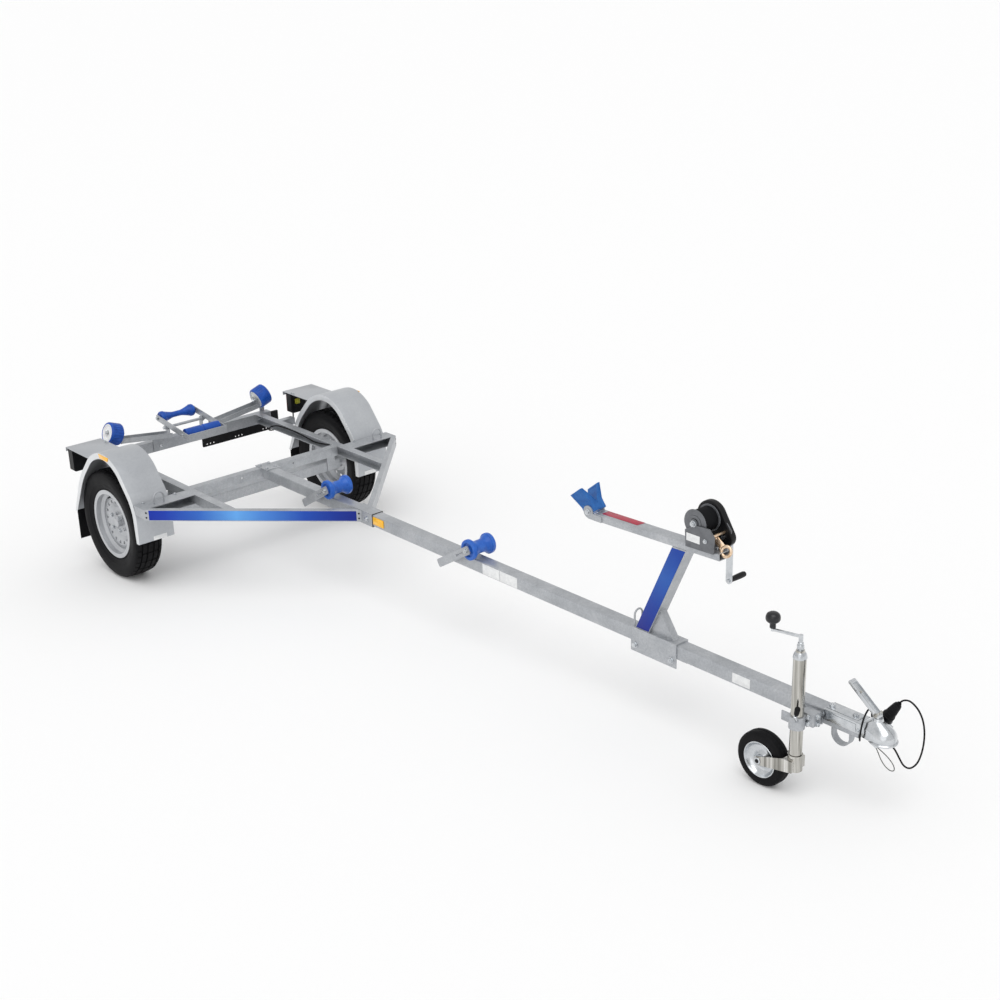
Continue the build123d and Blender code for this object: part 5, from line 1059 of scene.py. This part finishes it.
# ---------------------------------------------------------------- winch post, snubber and winch
@dataclass
class WinchStand:
    """Leaning post with its blank panel, the V snubber and the strap winch."""

    post_foot: Point = (3080.0, 505.0)
    lean: float = 24.8
    panel: Profile = ((507.5, -34.6), (507.5, 32.5), (908.0, 32.5), (906.0, -34.6))
    beam_middle: Point = (3140.0, 0.0, 939.0)
    beam_slope: float = 1.8
    label_ends: Sequence[float] = (2838.0, 3030.0)
    snubber_at: Point = (2793.0, 0.0, 923.5)
    snubber_lean: float = 38.0
    snubber_half: float = 36.0
    snubber_v: Profile = ((-30, 0), (30, 0), (30, 40), (56, 105), (42, 105), (0, 36), (-42, 105),
                          (-56, 105), (-30, 40))
    drum_at: Point = (3354.0, 0.0, 1045.0)
    input_at: Point = (3425.0, 0.0, 985.0)
    winding: Profile = ((-37.6, 45), (-37.6, 46.6), (-36, 47.2), (36, 47.2), (37.6, 46.6),
                        (37.6, 45))
    drum_boss: Profile = ((-41.6, 20), (-41.6, 30), (-43.4, 30), (-44.2, 29), (-44.2, 20))
    rim_reaches: Sequence[float] = (-41.4, 38.4)
    housing: Sequence[float] = (42.4, 69.8, 66.0, 35.5)
    grip: Profile = ((0.3, 0), (0.3, 9), (3, 10.6), (14, 10.2), (30, 11.2), (60, 12), (80, 11.8),
                     (88, 10), (91.5, 6), (92, 0))
    crank_foot: Point = (0.0, 82.0, -190.0)
    hook_top: Point = (3431.0, 0.0, 984.0)
    hook_eye: Point = (3473.0, 0.0, 953.0)
    hook_ring: Sequence[float] = (19.0, 6.8, 5.6)

    def beam_top(self, x: float) -> float:
        """Height of the beam's upper face."""
        slope = math.tan(math.radians(self.beam_slope))
        return self.beam_middle[2] + (x - self.beam_middle[0]) * slope

    def post_panels(self) -> None:
        """Blank blue panel on both sides of the post."""
        slope, (foot_x, foot_z) = math.tan(math.radians(self.lean)), self.post_foot
        for label, side in SIDES:
            bm = bmesh.new()
            prism(bm, [(foot_x + (z - foot_z) * slope + reach, side * 30.2, z)
                       for z, reach in self.panel], (0, side * 0.8, 0), 0.25)
            piece(f"post_panel_{label}", bm, POST_PANEL)

    def stand_details(self) -> None:
        """Bolts of the saddle, the snubber's ears and the beam's end, and the warning label."""
        heads = []
        for _, side in SIDES:
            way = (0, side, 0)
            heads += [((x, side * 35.3, 430), way, Head.AF19_TALL, 10 * side) for x in (3046, 3241)]
            heads.append(((2781, side * 35.2, 929), way, Head.AF19))
        heads += [((x, 0, self.beam_top(x) + 4.2), UP, Head.AF13_TALL) for x in (3336, 3430)]
        bolted("stand_bolts", heads)
        bm = bmesh.new()
        low, high = (Vector((x, -12, self.beam_top(x) + 0.2)) for x in self.label_ends)
        prism(bm, [low, high, high + Vector((8, 40, 0.2)), low + Vector((-2, 40, 0))],
              (0, 0, 0.6), 0.2)
        piece("warning_label", bm, RED_VINYL)

    def snubber(self) -> None:
        """V block of blue rubber with a raised border round each arm."""
        lean = math.radians(self.snubber_lean)
        way = Vector((-math.cos(lean), 0, -math.sin(lean)))
        up = Vector((-math.sin(lean), 0, math.cos(lean)))
        back = Vector(self.snubber_at) - way * self.snubber_half
        bm = bmesh.new()
        prism(bm, [back + Vector((0, y, 0)) + up * rise for y, rise in self.snubber_v],
              way * self.snubber_half * 2, 2.2)
        faces = [f for f in bm.faces if abs(f.normal.dot(way)) > 0.97 and f.calc_area() > 900]
        bmesh.ops.inset_individual(bm, faces=faces, thickness=2.2, depth=0.0)
        bmesh.ops.inset_individual(bm, faces=faces, thickness=0.8, depth=-1.2)
        bmesh.ops.triangulate(bm, faces=faces, ngon_method="EAR_CLIP")
        wings = [f for f in bm.faces if f.calc_area() > 3000 and abs(f.normal.dot(way)) < 0.2]
        bmesh.ops.inset_individual(bm, faces=wings, thickness=8.0, depth=0.0)
        bmesh.ops.inset_individual(bm, faces=wings, thickness=1.6, depth=-1.4)
        piece("snubber_block", bm, BLOCK_BLUE, slot="blue_roller", node="bow_snubber", smooth=40)

    def winch(self) -> None:
        """Nuts, blank label, drum rims, wound strap and gear housing."""
        drum, shaft = Vector(self.drum_at), Vector(self.input_at)
        bolted("winch_nuts", [(drum + Vector((0, -50.2, 0)), RIGHT, Head.AF19),
                              ((3414, -50.2, 991), RIGHT, Head.AF13)])
        slabs("winch_label", WHITE_VINYL, [((3321, -51.0, 971), (3387, -50.2, 1002))], 0.3)
        bm = bmesh.new()
        for reach in self.rim_reaches:
            lathe(bm, [(reach, 46.4), (reach, 53.4), (reach + 0.8, 54.2), (reach + 2.2, 54.2),
                       (reach + 3, 53.4), (reach + 3, 46.4)], drum, LEFT, 72, closed=True)
        lathe(bm, self.drum_boss, drum, LEFT, 48, closed=True)
        piece("drum_flange_rims", bm, WINCH_ENAMEL, "winch_drum", "winch_grey")
        turned("strap_winding", WEBBING, self.winding, drum, LEFT, 72, True, body="winch_drum",
               slot="strap_black")
        bm = bmesh.new()
        near, far, large, small = self.housing
        for at, radius in ((drum, large), (shaft, small), (shaft + Vector((4, 0, -2)), small)):
            rod(bm, at + Vector((0, near, 0)), at + Vector((0, far, 0)), radius, 72)
        wrap(bm)
        bmesh.ops.dissolve_limit(bm, angle_limit=0.02, verts=bm.verts[:], edges=bm.edges[:])
        soften(bm, [e for e in bm.edges if e.calc_face_angle(0) > 1.2], 5.0, 4)
        piece("gear_housing", bm, BLACK_PLASTIC, slot="black_plastic", node="winch_cover")

    def crank(self) -> None:
        """Shaped grip with its end nut, and the nut on the winch's shaft."""
        shaft = Vector(self.input_at)
        foot = shaft + Vector(self.crank_foot)
        turned("crank_grip", BLACK_PLASTIC, self.grip, foot, LEFT, 40, body="winch_crank",
               slot="black_plastic", node="winch_grip")
        bolted("crank_nuts", [(foot + Vector((0, -6.2, 0)), RIGHT, Head.AF13_SLIM),
                              (shaft + Vector((0, 82.2, 0)), LEFT, Head.AF17)], "winch_crank")

    def hook(self) -> None:
        """Gold hook: rounded loop, flat shank, spring gate and the bar that it hangs on."""
        top, eye = Vector(self.hook_top), Vector(self.hook_eye)
        way = (eye - top).normalized()
        across = way.cross(Vector((0.5, -0.84, 0.2)).normalized()).normalized()
        plate = Matrix((way, across, way.cross(across))).transposed().to_4x4()
        middle, wide, thick = self.hook_ring
        turns = (math.tau * step / 16 for step in range(16))
        section = [(thick * math.sin(turn), middle + wide * math.cos(turn)) for turn in turns]
        bm = bmesh.new()
        lathe(bm, section, eye, way.cross(across), 48, closed=True)
        block(bm, (-12, -13, -5.5), (32, 13, 5.5), 4.0, Matrix.Translation(top) @ plate)
        rod(bm, top + across * 9 + way * 24, eye + across * 17 - way * 6, 5.4, 20, 1.5)
        rod(bm, top - way * 22, top - way * 6, 8.0, 24, 1.5, 7.0)
        piece("snap_hook", bm, YELLOW_ZINC, slot="zinc_yellow")
        bm = bmesh.new()
        rod(bm, (3428, -45.8, 1006), (3428, 45.8, 1006), 5.4, 20, 0.5)
        piece("hook_bar", bm, YELLOW_ZINC, slot="zinc_yellow", node="winch_hook")

    def build(self) -> None:
        """Post, snubber, winch, crank and hook."""
        self.post_panels()
        self.stand_details()
        self.snubber()
        self.winch()
        self.crank()
        self.hook()


# ---------------------------------------------------------------- coupling and jockey wheel
@dataclass
class Coupling:
    """Pressed coupling with a channel lever and the parking holder of the plug."""

    ball_at: Point = (4205.0, 0.0, 482.0)
    neck: Sequence[float] = (3970.0, 4126.0)
    neck_half: float = 34.2
    bottom: float = 456.0
    lip: Profile = ((-29, 43), (-29, 51), (-27.4, 52), (-24, 51.4), (-21, 48.4), (-19, 43))
    boss: Profile = ((40, 0), (40, 22), (46, 20), (52, 18.6), (54.5, 17), (54.5, 0))
    holder: Profile = ((-20, 0), (-20, 23.6), (-18.6, 25), (-1, 25), (0, 24.4), (0, 19.6),
                       (-0.6, 19), (-14, 19), (-14, 0))
    lever_low: Point = (4178.0, 0.0, 545.0)
    lever_high: Point = (4066.0, 0.0, 632.0)
    lever_width: float = 28.0
    lever_height: float = 15.6

    def shell(self) -> None:
        """Neck channel drawn into a low head, with its hollow mouth, lever boss and holder."""
        bm = bmesh.new()
        dome = bmesh.ops.create_uvsphere(bm, u_segments=40, v_segments=24, radius=1.0)["verts"]
        bmesh.ops.transform(bm, matrix=Matrix.Translation((self.ball_at[0], 0, 468))
                            @ Matrix.Diagonal((48, 46, 46, 1.0)), verts=dome)
        block(bm, (4120, -34, 459), (4130, 34, 504), 4.0)
        rod(bm, (4176, 0, 480), (4176, 0, 527), 22, 32)
        wrap(bm)
        bmesh.ops.bisect_plane(bm, geom=bm.verts[:] + bm.edges[:] + bm.faces[:],
                               plane_co=(0, 0, self.bottom), plane_no=(0, 0, -1),
                               clear_outer=True)
        rim = [e for e in bm.edges if e.is_boundary]
        floor = bmesh.ops.contextual_create(bm, geom=rim)["faces"]
        bmesh.ops.inset_individual(bm, faces=floor, thickness=5.0, depth=0.0)
        roof = [v for f in floor for v in f.verts]
        bmesh.ops.translate(bm, vec=(0, 0, 26), verts=roof)
        bmesh.ops.scale(bm, vec=(0.8, 0.8, 1.0), space=Matrix.Translation((-4180, 0, 0)),
                        verts=roof)
        bmesh.ops.recalc_face_normals(bm, faces=bm.faces)
        lathe(bm, self.lip, self.ball_at, UP, 72, closed=True)
        lathe(bm, self.boss, (4178, 0, 482), UP, 48)
        rear, front = self.neck
        block(bm, (rear, -34, 500), (front, 34, 504), 1.6)
        for _, side in SIDES:
            flank(bm, side, (rear, 30.2, 462), (front, self.neck_half, 503), 1.6)
        lathe(bm, self.holder, HOLDER_AT, HOLDER_WAY, 48)
        block(bm, (-15, -36, -20), (15, -20, -14), 1.2, aimed(HOLDER_AT, HOLDER_WAY))
        piece("coupling_shell", bm, BRIGHT_ZINC, slot="zinc_bright", node="coupling_body",
              smooth=28)

    def head(self) -> None:
        """Pressed side panels, neck bolts and the raised panel on the neck."""
        bm = bmesh.new()
        for _, side in SIDES:
            flank(bm, side, (3978, self.neck_half, 468), (4112, self.neck_half + 2.4, 497), 0.9)
            hex_head(bm, (4121, side * 34.4, 474), (0, side, 0), Head.AF11)
        for x in (3984, 4086):
            hex_head(bm, (x, 0, 504.2), UP, Head.AF21, 15)
        piece("coupling_bolts", bm, BRIGHT_ZINC, slot="zinc_bright")
        bm = bmesh.new()
        block(bm, (3972, -20, 504.1), (4110, 20, 505.9), 0.7)
        block(bm, (4098, -9, 505.4), (4108, 9, 507.0), 0.5)
        piece("coupling_top_pressing", bm, BRIGHT_ZINC, slot="zinc_bright")

    def lever(self) -> None:
        """Channel lever with turned-up sides, its pivot pin and a curled end."""
        low, high = Vector(self.lever_low), Vector(self.lever_high)
        way = (high - low).normalized()
        out = Vector(LEFT).cross(way)
        place = Matrix((way, out.cross(way), out)).transposed().to_4x4()
        place.translation = low
        length = (high - low).length
        bm = bmesh.new()
        made = bmesh.ops.create_cube(bm, size=1.0)["verts"]
        size = Matrix.Diagonal((length + 14, self.lever_width, self.lever_height, 1.0))
        bmesh.ops.transform(bm, matrix=Matrix.Translation((length / 2 + 1, 0, 0)) @ size,
                            verts=made)
        top = [f for f in bm.faces if f.normal.z > 0.9]
        bmesh.ops.inset_individual(bm, faces=top, thickness=3.2, depth=0.0)
        bmesh.ops.translate(bm, vec=(0, 0, -10), verts=[v for f in top for v in f.verts])
        soften(bm, bm.edges[:], 1.3, 2)
        bmesh.ops.transform(bm, matrix=place, verts=bm.verts)
        curl, reach = high + way * 4, Vector((0, 13.6, 0))
        rod(bm, curl - reach, curl + reach, 8.6, 24, 1.0)
        block(bm, (4168.5, -13.5, 536), (4187.5, 13.5, 548), 1.5)
        piece("lever_channel", bm, BRIGHT_ZINC, slot="zinc_bright", node="coupling_lever")
        bm = bmesh.new()
        pivot = low + Vector((-2, 0, 4))
        rod(bm, pivot - Vector((0, 16, 0)), pivot + Vector((0, 16, 0)), 4.2, 20, 0.8)
        for side in (-1, 1):
            hex_head(bm, pivot + Vector((0, side * 14.2, 0)), (0, side, 0), Head.AF13_SLIM)
        rod(bm, low + way * 100 - out * 2, low + way * 100 + out * 3, 5.0, 20, 0.6)
        piece("lever_pins", bm, NICKEL)

    def build(self) -> None:
        """Shell and head details, then the lever."""
        self.shell()
        self.head()
        self.lever()


@dataclass
class JockeyWheel:
    """Support wheel: nickel mast, winding crank with a mushroom knob, clamp and solid tyre."""

    mast_at: Point = (3918.0, -115.0, 0.0)
    cap: Profile = ((716, 24.1), (716, 25.2), (717, 25.8), (720, 25.8), (722, 25.2), (730, 24),
                    (738, 20.4), (745, 14.5), (749, 11), (749, 8.6), (744, 8.6), (740, 12),
                    (722, 21))
    collar: Profile = ((752, 8.1), (752, 12), (753.5, 13), (766, 13), (768, 11.6), (776, 10.4),
                       (778, 8.1))
    pin_half: float = 15.0
    knob_at: Point = (3813.2, -141.1, 812.0)
    knob_outline: Profile = (
        (-6, 0), (-6, 10), (-4.5, 11.2), (2, 11.4), (3, 10.6), (6, 10.6), (7, 11.4), (11, 11.6),
        (14, 13), (18, 20), (23, 25), (29, 27), (36, 27), (43, 25.6), (49, 22), (53.5, 16),
        (55.6, 9), (56, 0))
    handle_at: Point = (3942.0, -153.0, 513.0)
    handle: Profile = ((-2, 0), (-2, 6.5), (0, 8), (6, 9.4), (24, 10.4), (30, 9.6), (34, 7),
                       (36, 3.5), (36.4, 0))
    hub_at: Point = (3777.0, -115.0, 256.0)
    tyre_half: Profile = (
        (22, 69.6), (26, 71), (27.6, 74), (28, 80), (28, 92), (27.2, 98), (24.4, 103),
        (20, 106.4), (14, 107.8), (6, 108), (5, 106.6), (3, 106.2))
    rim_half: Profile = (
        (27, 69.4), (28.6, 71.6), (29.6, 70.8), (29.2, 67.5), (24, 64.4), (17, 61), (9, 52),
        (7.6, 44), (8.4, 34), (13, 25), (18, 19), (28.6, 16), (29, 14.5), (29, 8.4))
    washer: Profile = ((39.2, 8.2), (39.2, 14), (40.6, 14.6), (41.8, 13.8), (41.8, 8.2))

    def mast(self) -> None:
        """Domed cap on the mast and the collar of the winding rod with its cross pin."""
        turned("mast_cap", BRIGHT_ZINC, self.cap, self.mast_at, UP, 64, True, body="jockey_mast",
               slot="zinc_bright")
        bm = bmesh.new()
        lathe(bm, self.collar, self.mast_at, UP, 40, closed=True)
        x, y, _ = self.mast_at
        rod(bm, (x - self.pin_half, y, 760), (x + self.pin_half, y, 760), 3.2, 16, 0.5)
        piece("crank_collar", bm, BRIGHT_ZINC, "jockey_crank", "zinc_bright")

    def knob(self) -> None:
        """Black mushroom knob with a ribbed neck."""
        turned("knob_cap", GLOSS_PLASTIC, self.knob_outline, self.knob_at, UP, 56,
               body="jockey_crank", slot="black_plastic", node="jockey_knob")

    def clamp(self) -> None:
        """Flange plate, bolt block and screw handle of the clamp."""
        bm = bmesh.new()
        block(bm, (3849, -118, 444), (3896, -112, 482), 1.5)
        block(bm, (3928, -92, 446), (3972, -46, 496), 3.0)
        piece("clamp_flange", bm, GALVANISED, slot="galvanised")
        bm = bmesh.new()
        for z in (456, 484):
            hex_head(bm, (3972.3, -70, z), FORWARD, Head.AF17_TALL)
            hex_head(bm, (3950, -92.3, z), RIGHT, Head.AF17)
        for x in (3880, 3958):
            hex_head(bm, (x, -35.3, 478), RIGHT, Head.AF15)
        rod(bm, (3934, -138, 478), (3940, -158, 508), 6.0, 20, 0.6)
        piece("clamp_bolts", bm, BRIGHT_ZINC, slot="zinc_bright")
        turned("clamp_handle", SOFT_RUBBER, self.handle, self.handle_at, (0.25, -0.1, 1), 36,
               slot="black_rubber")

    def wheel(self) -> None:
        """Solid tyre, dished rim, washers and caps at the fork's ends."""
        turned("support_tyre", TYRE_RUBBER, mirrored(self.tyre_half), self.hub_at, LEFT, 96, True,
               body="jockey_wheel", slot="tyre_rubber", node="jockey_tyre")
        turned("support_rim", BRIGHT_ZINC, mirrored(self.rim_half), self.hub_at, LEFT, 72, True,
               body="jockey_wheel", slot="wheel_silver", node="jockey_rim")
        washers, caps, hub = bmesh.new(), bmesh.new(), Vector(self.hub_at)
        for _, side in SIDES:
            lathe(washers, self.washer, hub, (0, side, 0), 40, closed=True)
            rod(caps, hub + Vector((0, side * 38.8, 0)), hub + Vector((0, side * 43.6, 0)), 8.0,
                28, 1.2)
        piece("fork_washers", washers, BRIGHT_ZINC, "jockey_fork")
        piece("fork_axle_caps", caps, BLACK_PLASTIC, "jockey_fork")

    def build(self) -> None:
        """Mast, knob, clamp and wheel."""
        self.mast()
        self.knob()
        self.clamp()
        self.wheel()


# ---------------------------------------------------------------- labels, reflectors and bolts
@dataclass
class FrameDressing:
    """Blank panels and labels, reflectors, and the bolts that hold the frame together."""

    brace_rear: Point = (440.0, 785.0)
    brace_front: Point = (1215.0, 33.0)
    panel_heights: Sequence[float] = (446.0, 496.5)
    panel_margins: Sequence[float] = (26.0, 24.0)
    plug_margins: Sequence[float] = (13.0, 12.0)
    label_boxes: Sequence[Sequence[float]] = (
        (2108, 2221, 445, 494), (2224, 2336, 445, 494), (3546, 3632, 449, 489))
    seal: Sequence[Sequence[float]] = (
        (-33.4, 437.4, -30.6, 502.6), (30.6, 437.4, 33.4, 502.6),
        (-33.4, 500.6, 33.4, 503.4), (-33.4, 436.6, 33.4, 439.4))
    side_bolts: Sequence[tuple] = (
        ((1262, 33.3, 470), LEFT, Head.AF19),
        ((322, 26, 504.3), UP, Head.AF15), ((385, 26, 504.3), UP, Head.AF15),
        ((-471, 150, 500.3), UP, Head.AF15),
        ((-449.7, 180, 470), FORWARD, Head.AF17), ((-449.7, 472, 470), FORWARD, Head.AF17),
        ((168, 472, 437.2), (0, 0, -1), Head.AF15), ((252, 472, 437.2), (0, 0, -1), Head.AF15),
        ((360, 560, 500.3), UP, Head.AF13), ((360, 740, 500.3), UP, Head.AF13),
        ((309.7, 300, 475), BACK, Head.AF13))

    def brace_point(self, side: int, reach: float, off: float, z: float) -> Vector:
        """Point on the outer face of a brace.

        Args:
            side: -1 for right, 1 for left.
            reach: Distance from its rear corner.
            off: Distance out of the face.
            z: Height.

        Returns:
            The point.
        """
        rear, front = Vector(self.brace_rear), Vector(self.brace_front)
        way = (front - rear).normalized()
        at = rear + way * reach + Vector((-way.y, way.x)) * off
        return Vector((at.x, side * at.y, z))

    def brace_panels(self) -> None:
        """Blank blue panel on the right brace, and the plugged holes at the ends of both."""
        length = (Vector(self.brace_front) - Vector(self.brace_rear)).length
        rear, front = self.panel_margins[0], length - self.panel_margins[1]
        low, high = self.panel_heights
        bm = bmesh.new()
        corners = ((rear, low), (front, low), (front, high), (rear, high))
        out = self.brace_point(-1, 0, 1, 0) - self.brace_point(-1, 0, 0, 0)
        prism(bm, [self.brace_point(-1, reach, 0.2, z) for reach, z in corners], out * 0.7, 0.2)
        piece("brace_panel_right", bm, BRACE_PANEL)
        for label, side in SIDES:
            out = self.brace_point(side, 0, 1, 0) - self.brace_point(side, 0, 0, 0)
            bm = bmesh.new()
            for reach in (self.plug_margins[0], length - self.plug_margins[1]):
                for z in (459, 484):
                    foot = self.brace_point(side, reach, 0.2, z)
                    rod(bm, foot, foot + out * 1.2, 4.6, 24, 0.3)
            piece(f"brace_plugs_{label}", bm, BLACK_PLASTIC)

    def drawbar_labels(self) -> None:
        """Blank white labels, the orange reflectors and the seal at the sleeve's front edge."""
        slabs("drawbar_labels", WHITE_VINYL,
              [((rear, -30.8, low), (front, -30.2, high))
               for rear, front, low, high in self.label_boxes], 0.2)
        for label, side in SIDES:
            bm = bmesh.new()
            flank(bm, side, (1308, 30.3, 455), (1390, 35.0, 494), 2.0)
            piece(f"drawbar_reflector_{label}", bm, AMBER_REFLECTOR)
        slabs("sleeve_seal", SOFT_RUBBER,
              [((1300.4, right, low), (1302.2, left, high))
               for right, low, left, high in self.seal], 0.4)

    def bolts(self) -> None:
        """Hex bolts on the sleeve, saddle, crossmembers, hangers and brackets."""
        bolted("frame_bolts", [((x, side * y, z), (way[0], side * way[1], way[2]), head)
                               for _, side in SIDES for (x, y, z), way, head in self.side_bolts])

    def plate_border(self) -> None:
        """Raised border of the number plate holder."""
        slabs("plate_border", BLACK_PLASTIC,
              [((-501.2, 114, 376), (-499.2, 626, 380)), ((-501.2, 114, 472), (-499.2, 626, 476)),
               ((-501.2, 114, 378), (-499.2, 118, 474)), ((-501.2, 622, 378), (-499.2, 626, 474))],
              0.6, "black_plastic")

    def build(self) -> None:
        """Panels, labels, bolts and the plate holder's border."""
        self.brace_panels()
        self.drawbar_labels()
        self.bolts()
        self.plate_border()


# ---------------------------------------------------------------- everything together
NODE_FINISHES = (
    (("tyre_", "jockey_tyre"), TYRE_RUBBER),
    (("rim_", "jockey_rim"), WHEEL_LACQUER),
    (("side_roller_", "cradle_bow", "cradle_drum", "bow_snubber"), ROYAL_BLUE),
    (("keel_roller_",), LIGHT_BLUE),
    (("fender_",), SHEET_ZINC),
    (("tail_lamp_", "number_plate_holder", "winch_cover", "winch_grip", "jockey_knob", "plug"),
     BLACK_PLASTIC),
    (("mudflap_", "lamp_wiring", "winch_strap"), SOFT_RUBBER),
    (("winch_frame", "winch_drum"), WINCH_ENAMEL),
    (("winch_hook",), YELLOW_ZINC),
    (("coupling_", "winch_crank", "jockey_crank", "safety_cable", "cable_ferrule"), BRIGHT_ZINC),
    (("jockey_mast", "jockey_leg", "jockey_fork"), NICKEL),
)


def dress_nodes() -> None:
    """Give every carried-over node its finish, galvanised where no other is named."""
    for name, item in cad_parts.items():
        chosen = next((finish for names, finish in NODE_FINISHES if name.startswith(names)),
                      GALVANISED)
        item.data.materials.clear()
        item.data.materials.append(chosen.material())


def main() -> None:
    """Build the stage, then every sub-assembly in order."""
    logging.basicConfig(level=logging.INFO, format="%(message)s")
    Studio().build()
    LooseCables().build()
    dress_nodes()
    for label, side in SIDES:
        RoadWheel(label, side).build()
        Fender(label, side).build()
    for assembly in (Rollers, WinchStand, Coupling, JockeyWheel, FrameDressing):
        assembly().build()


if __name__ == "__main__":
    main()
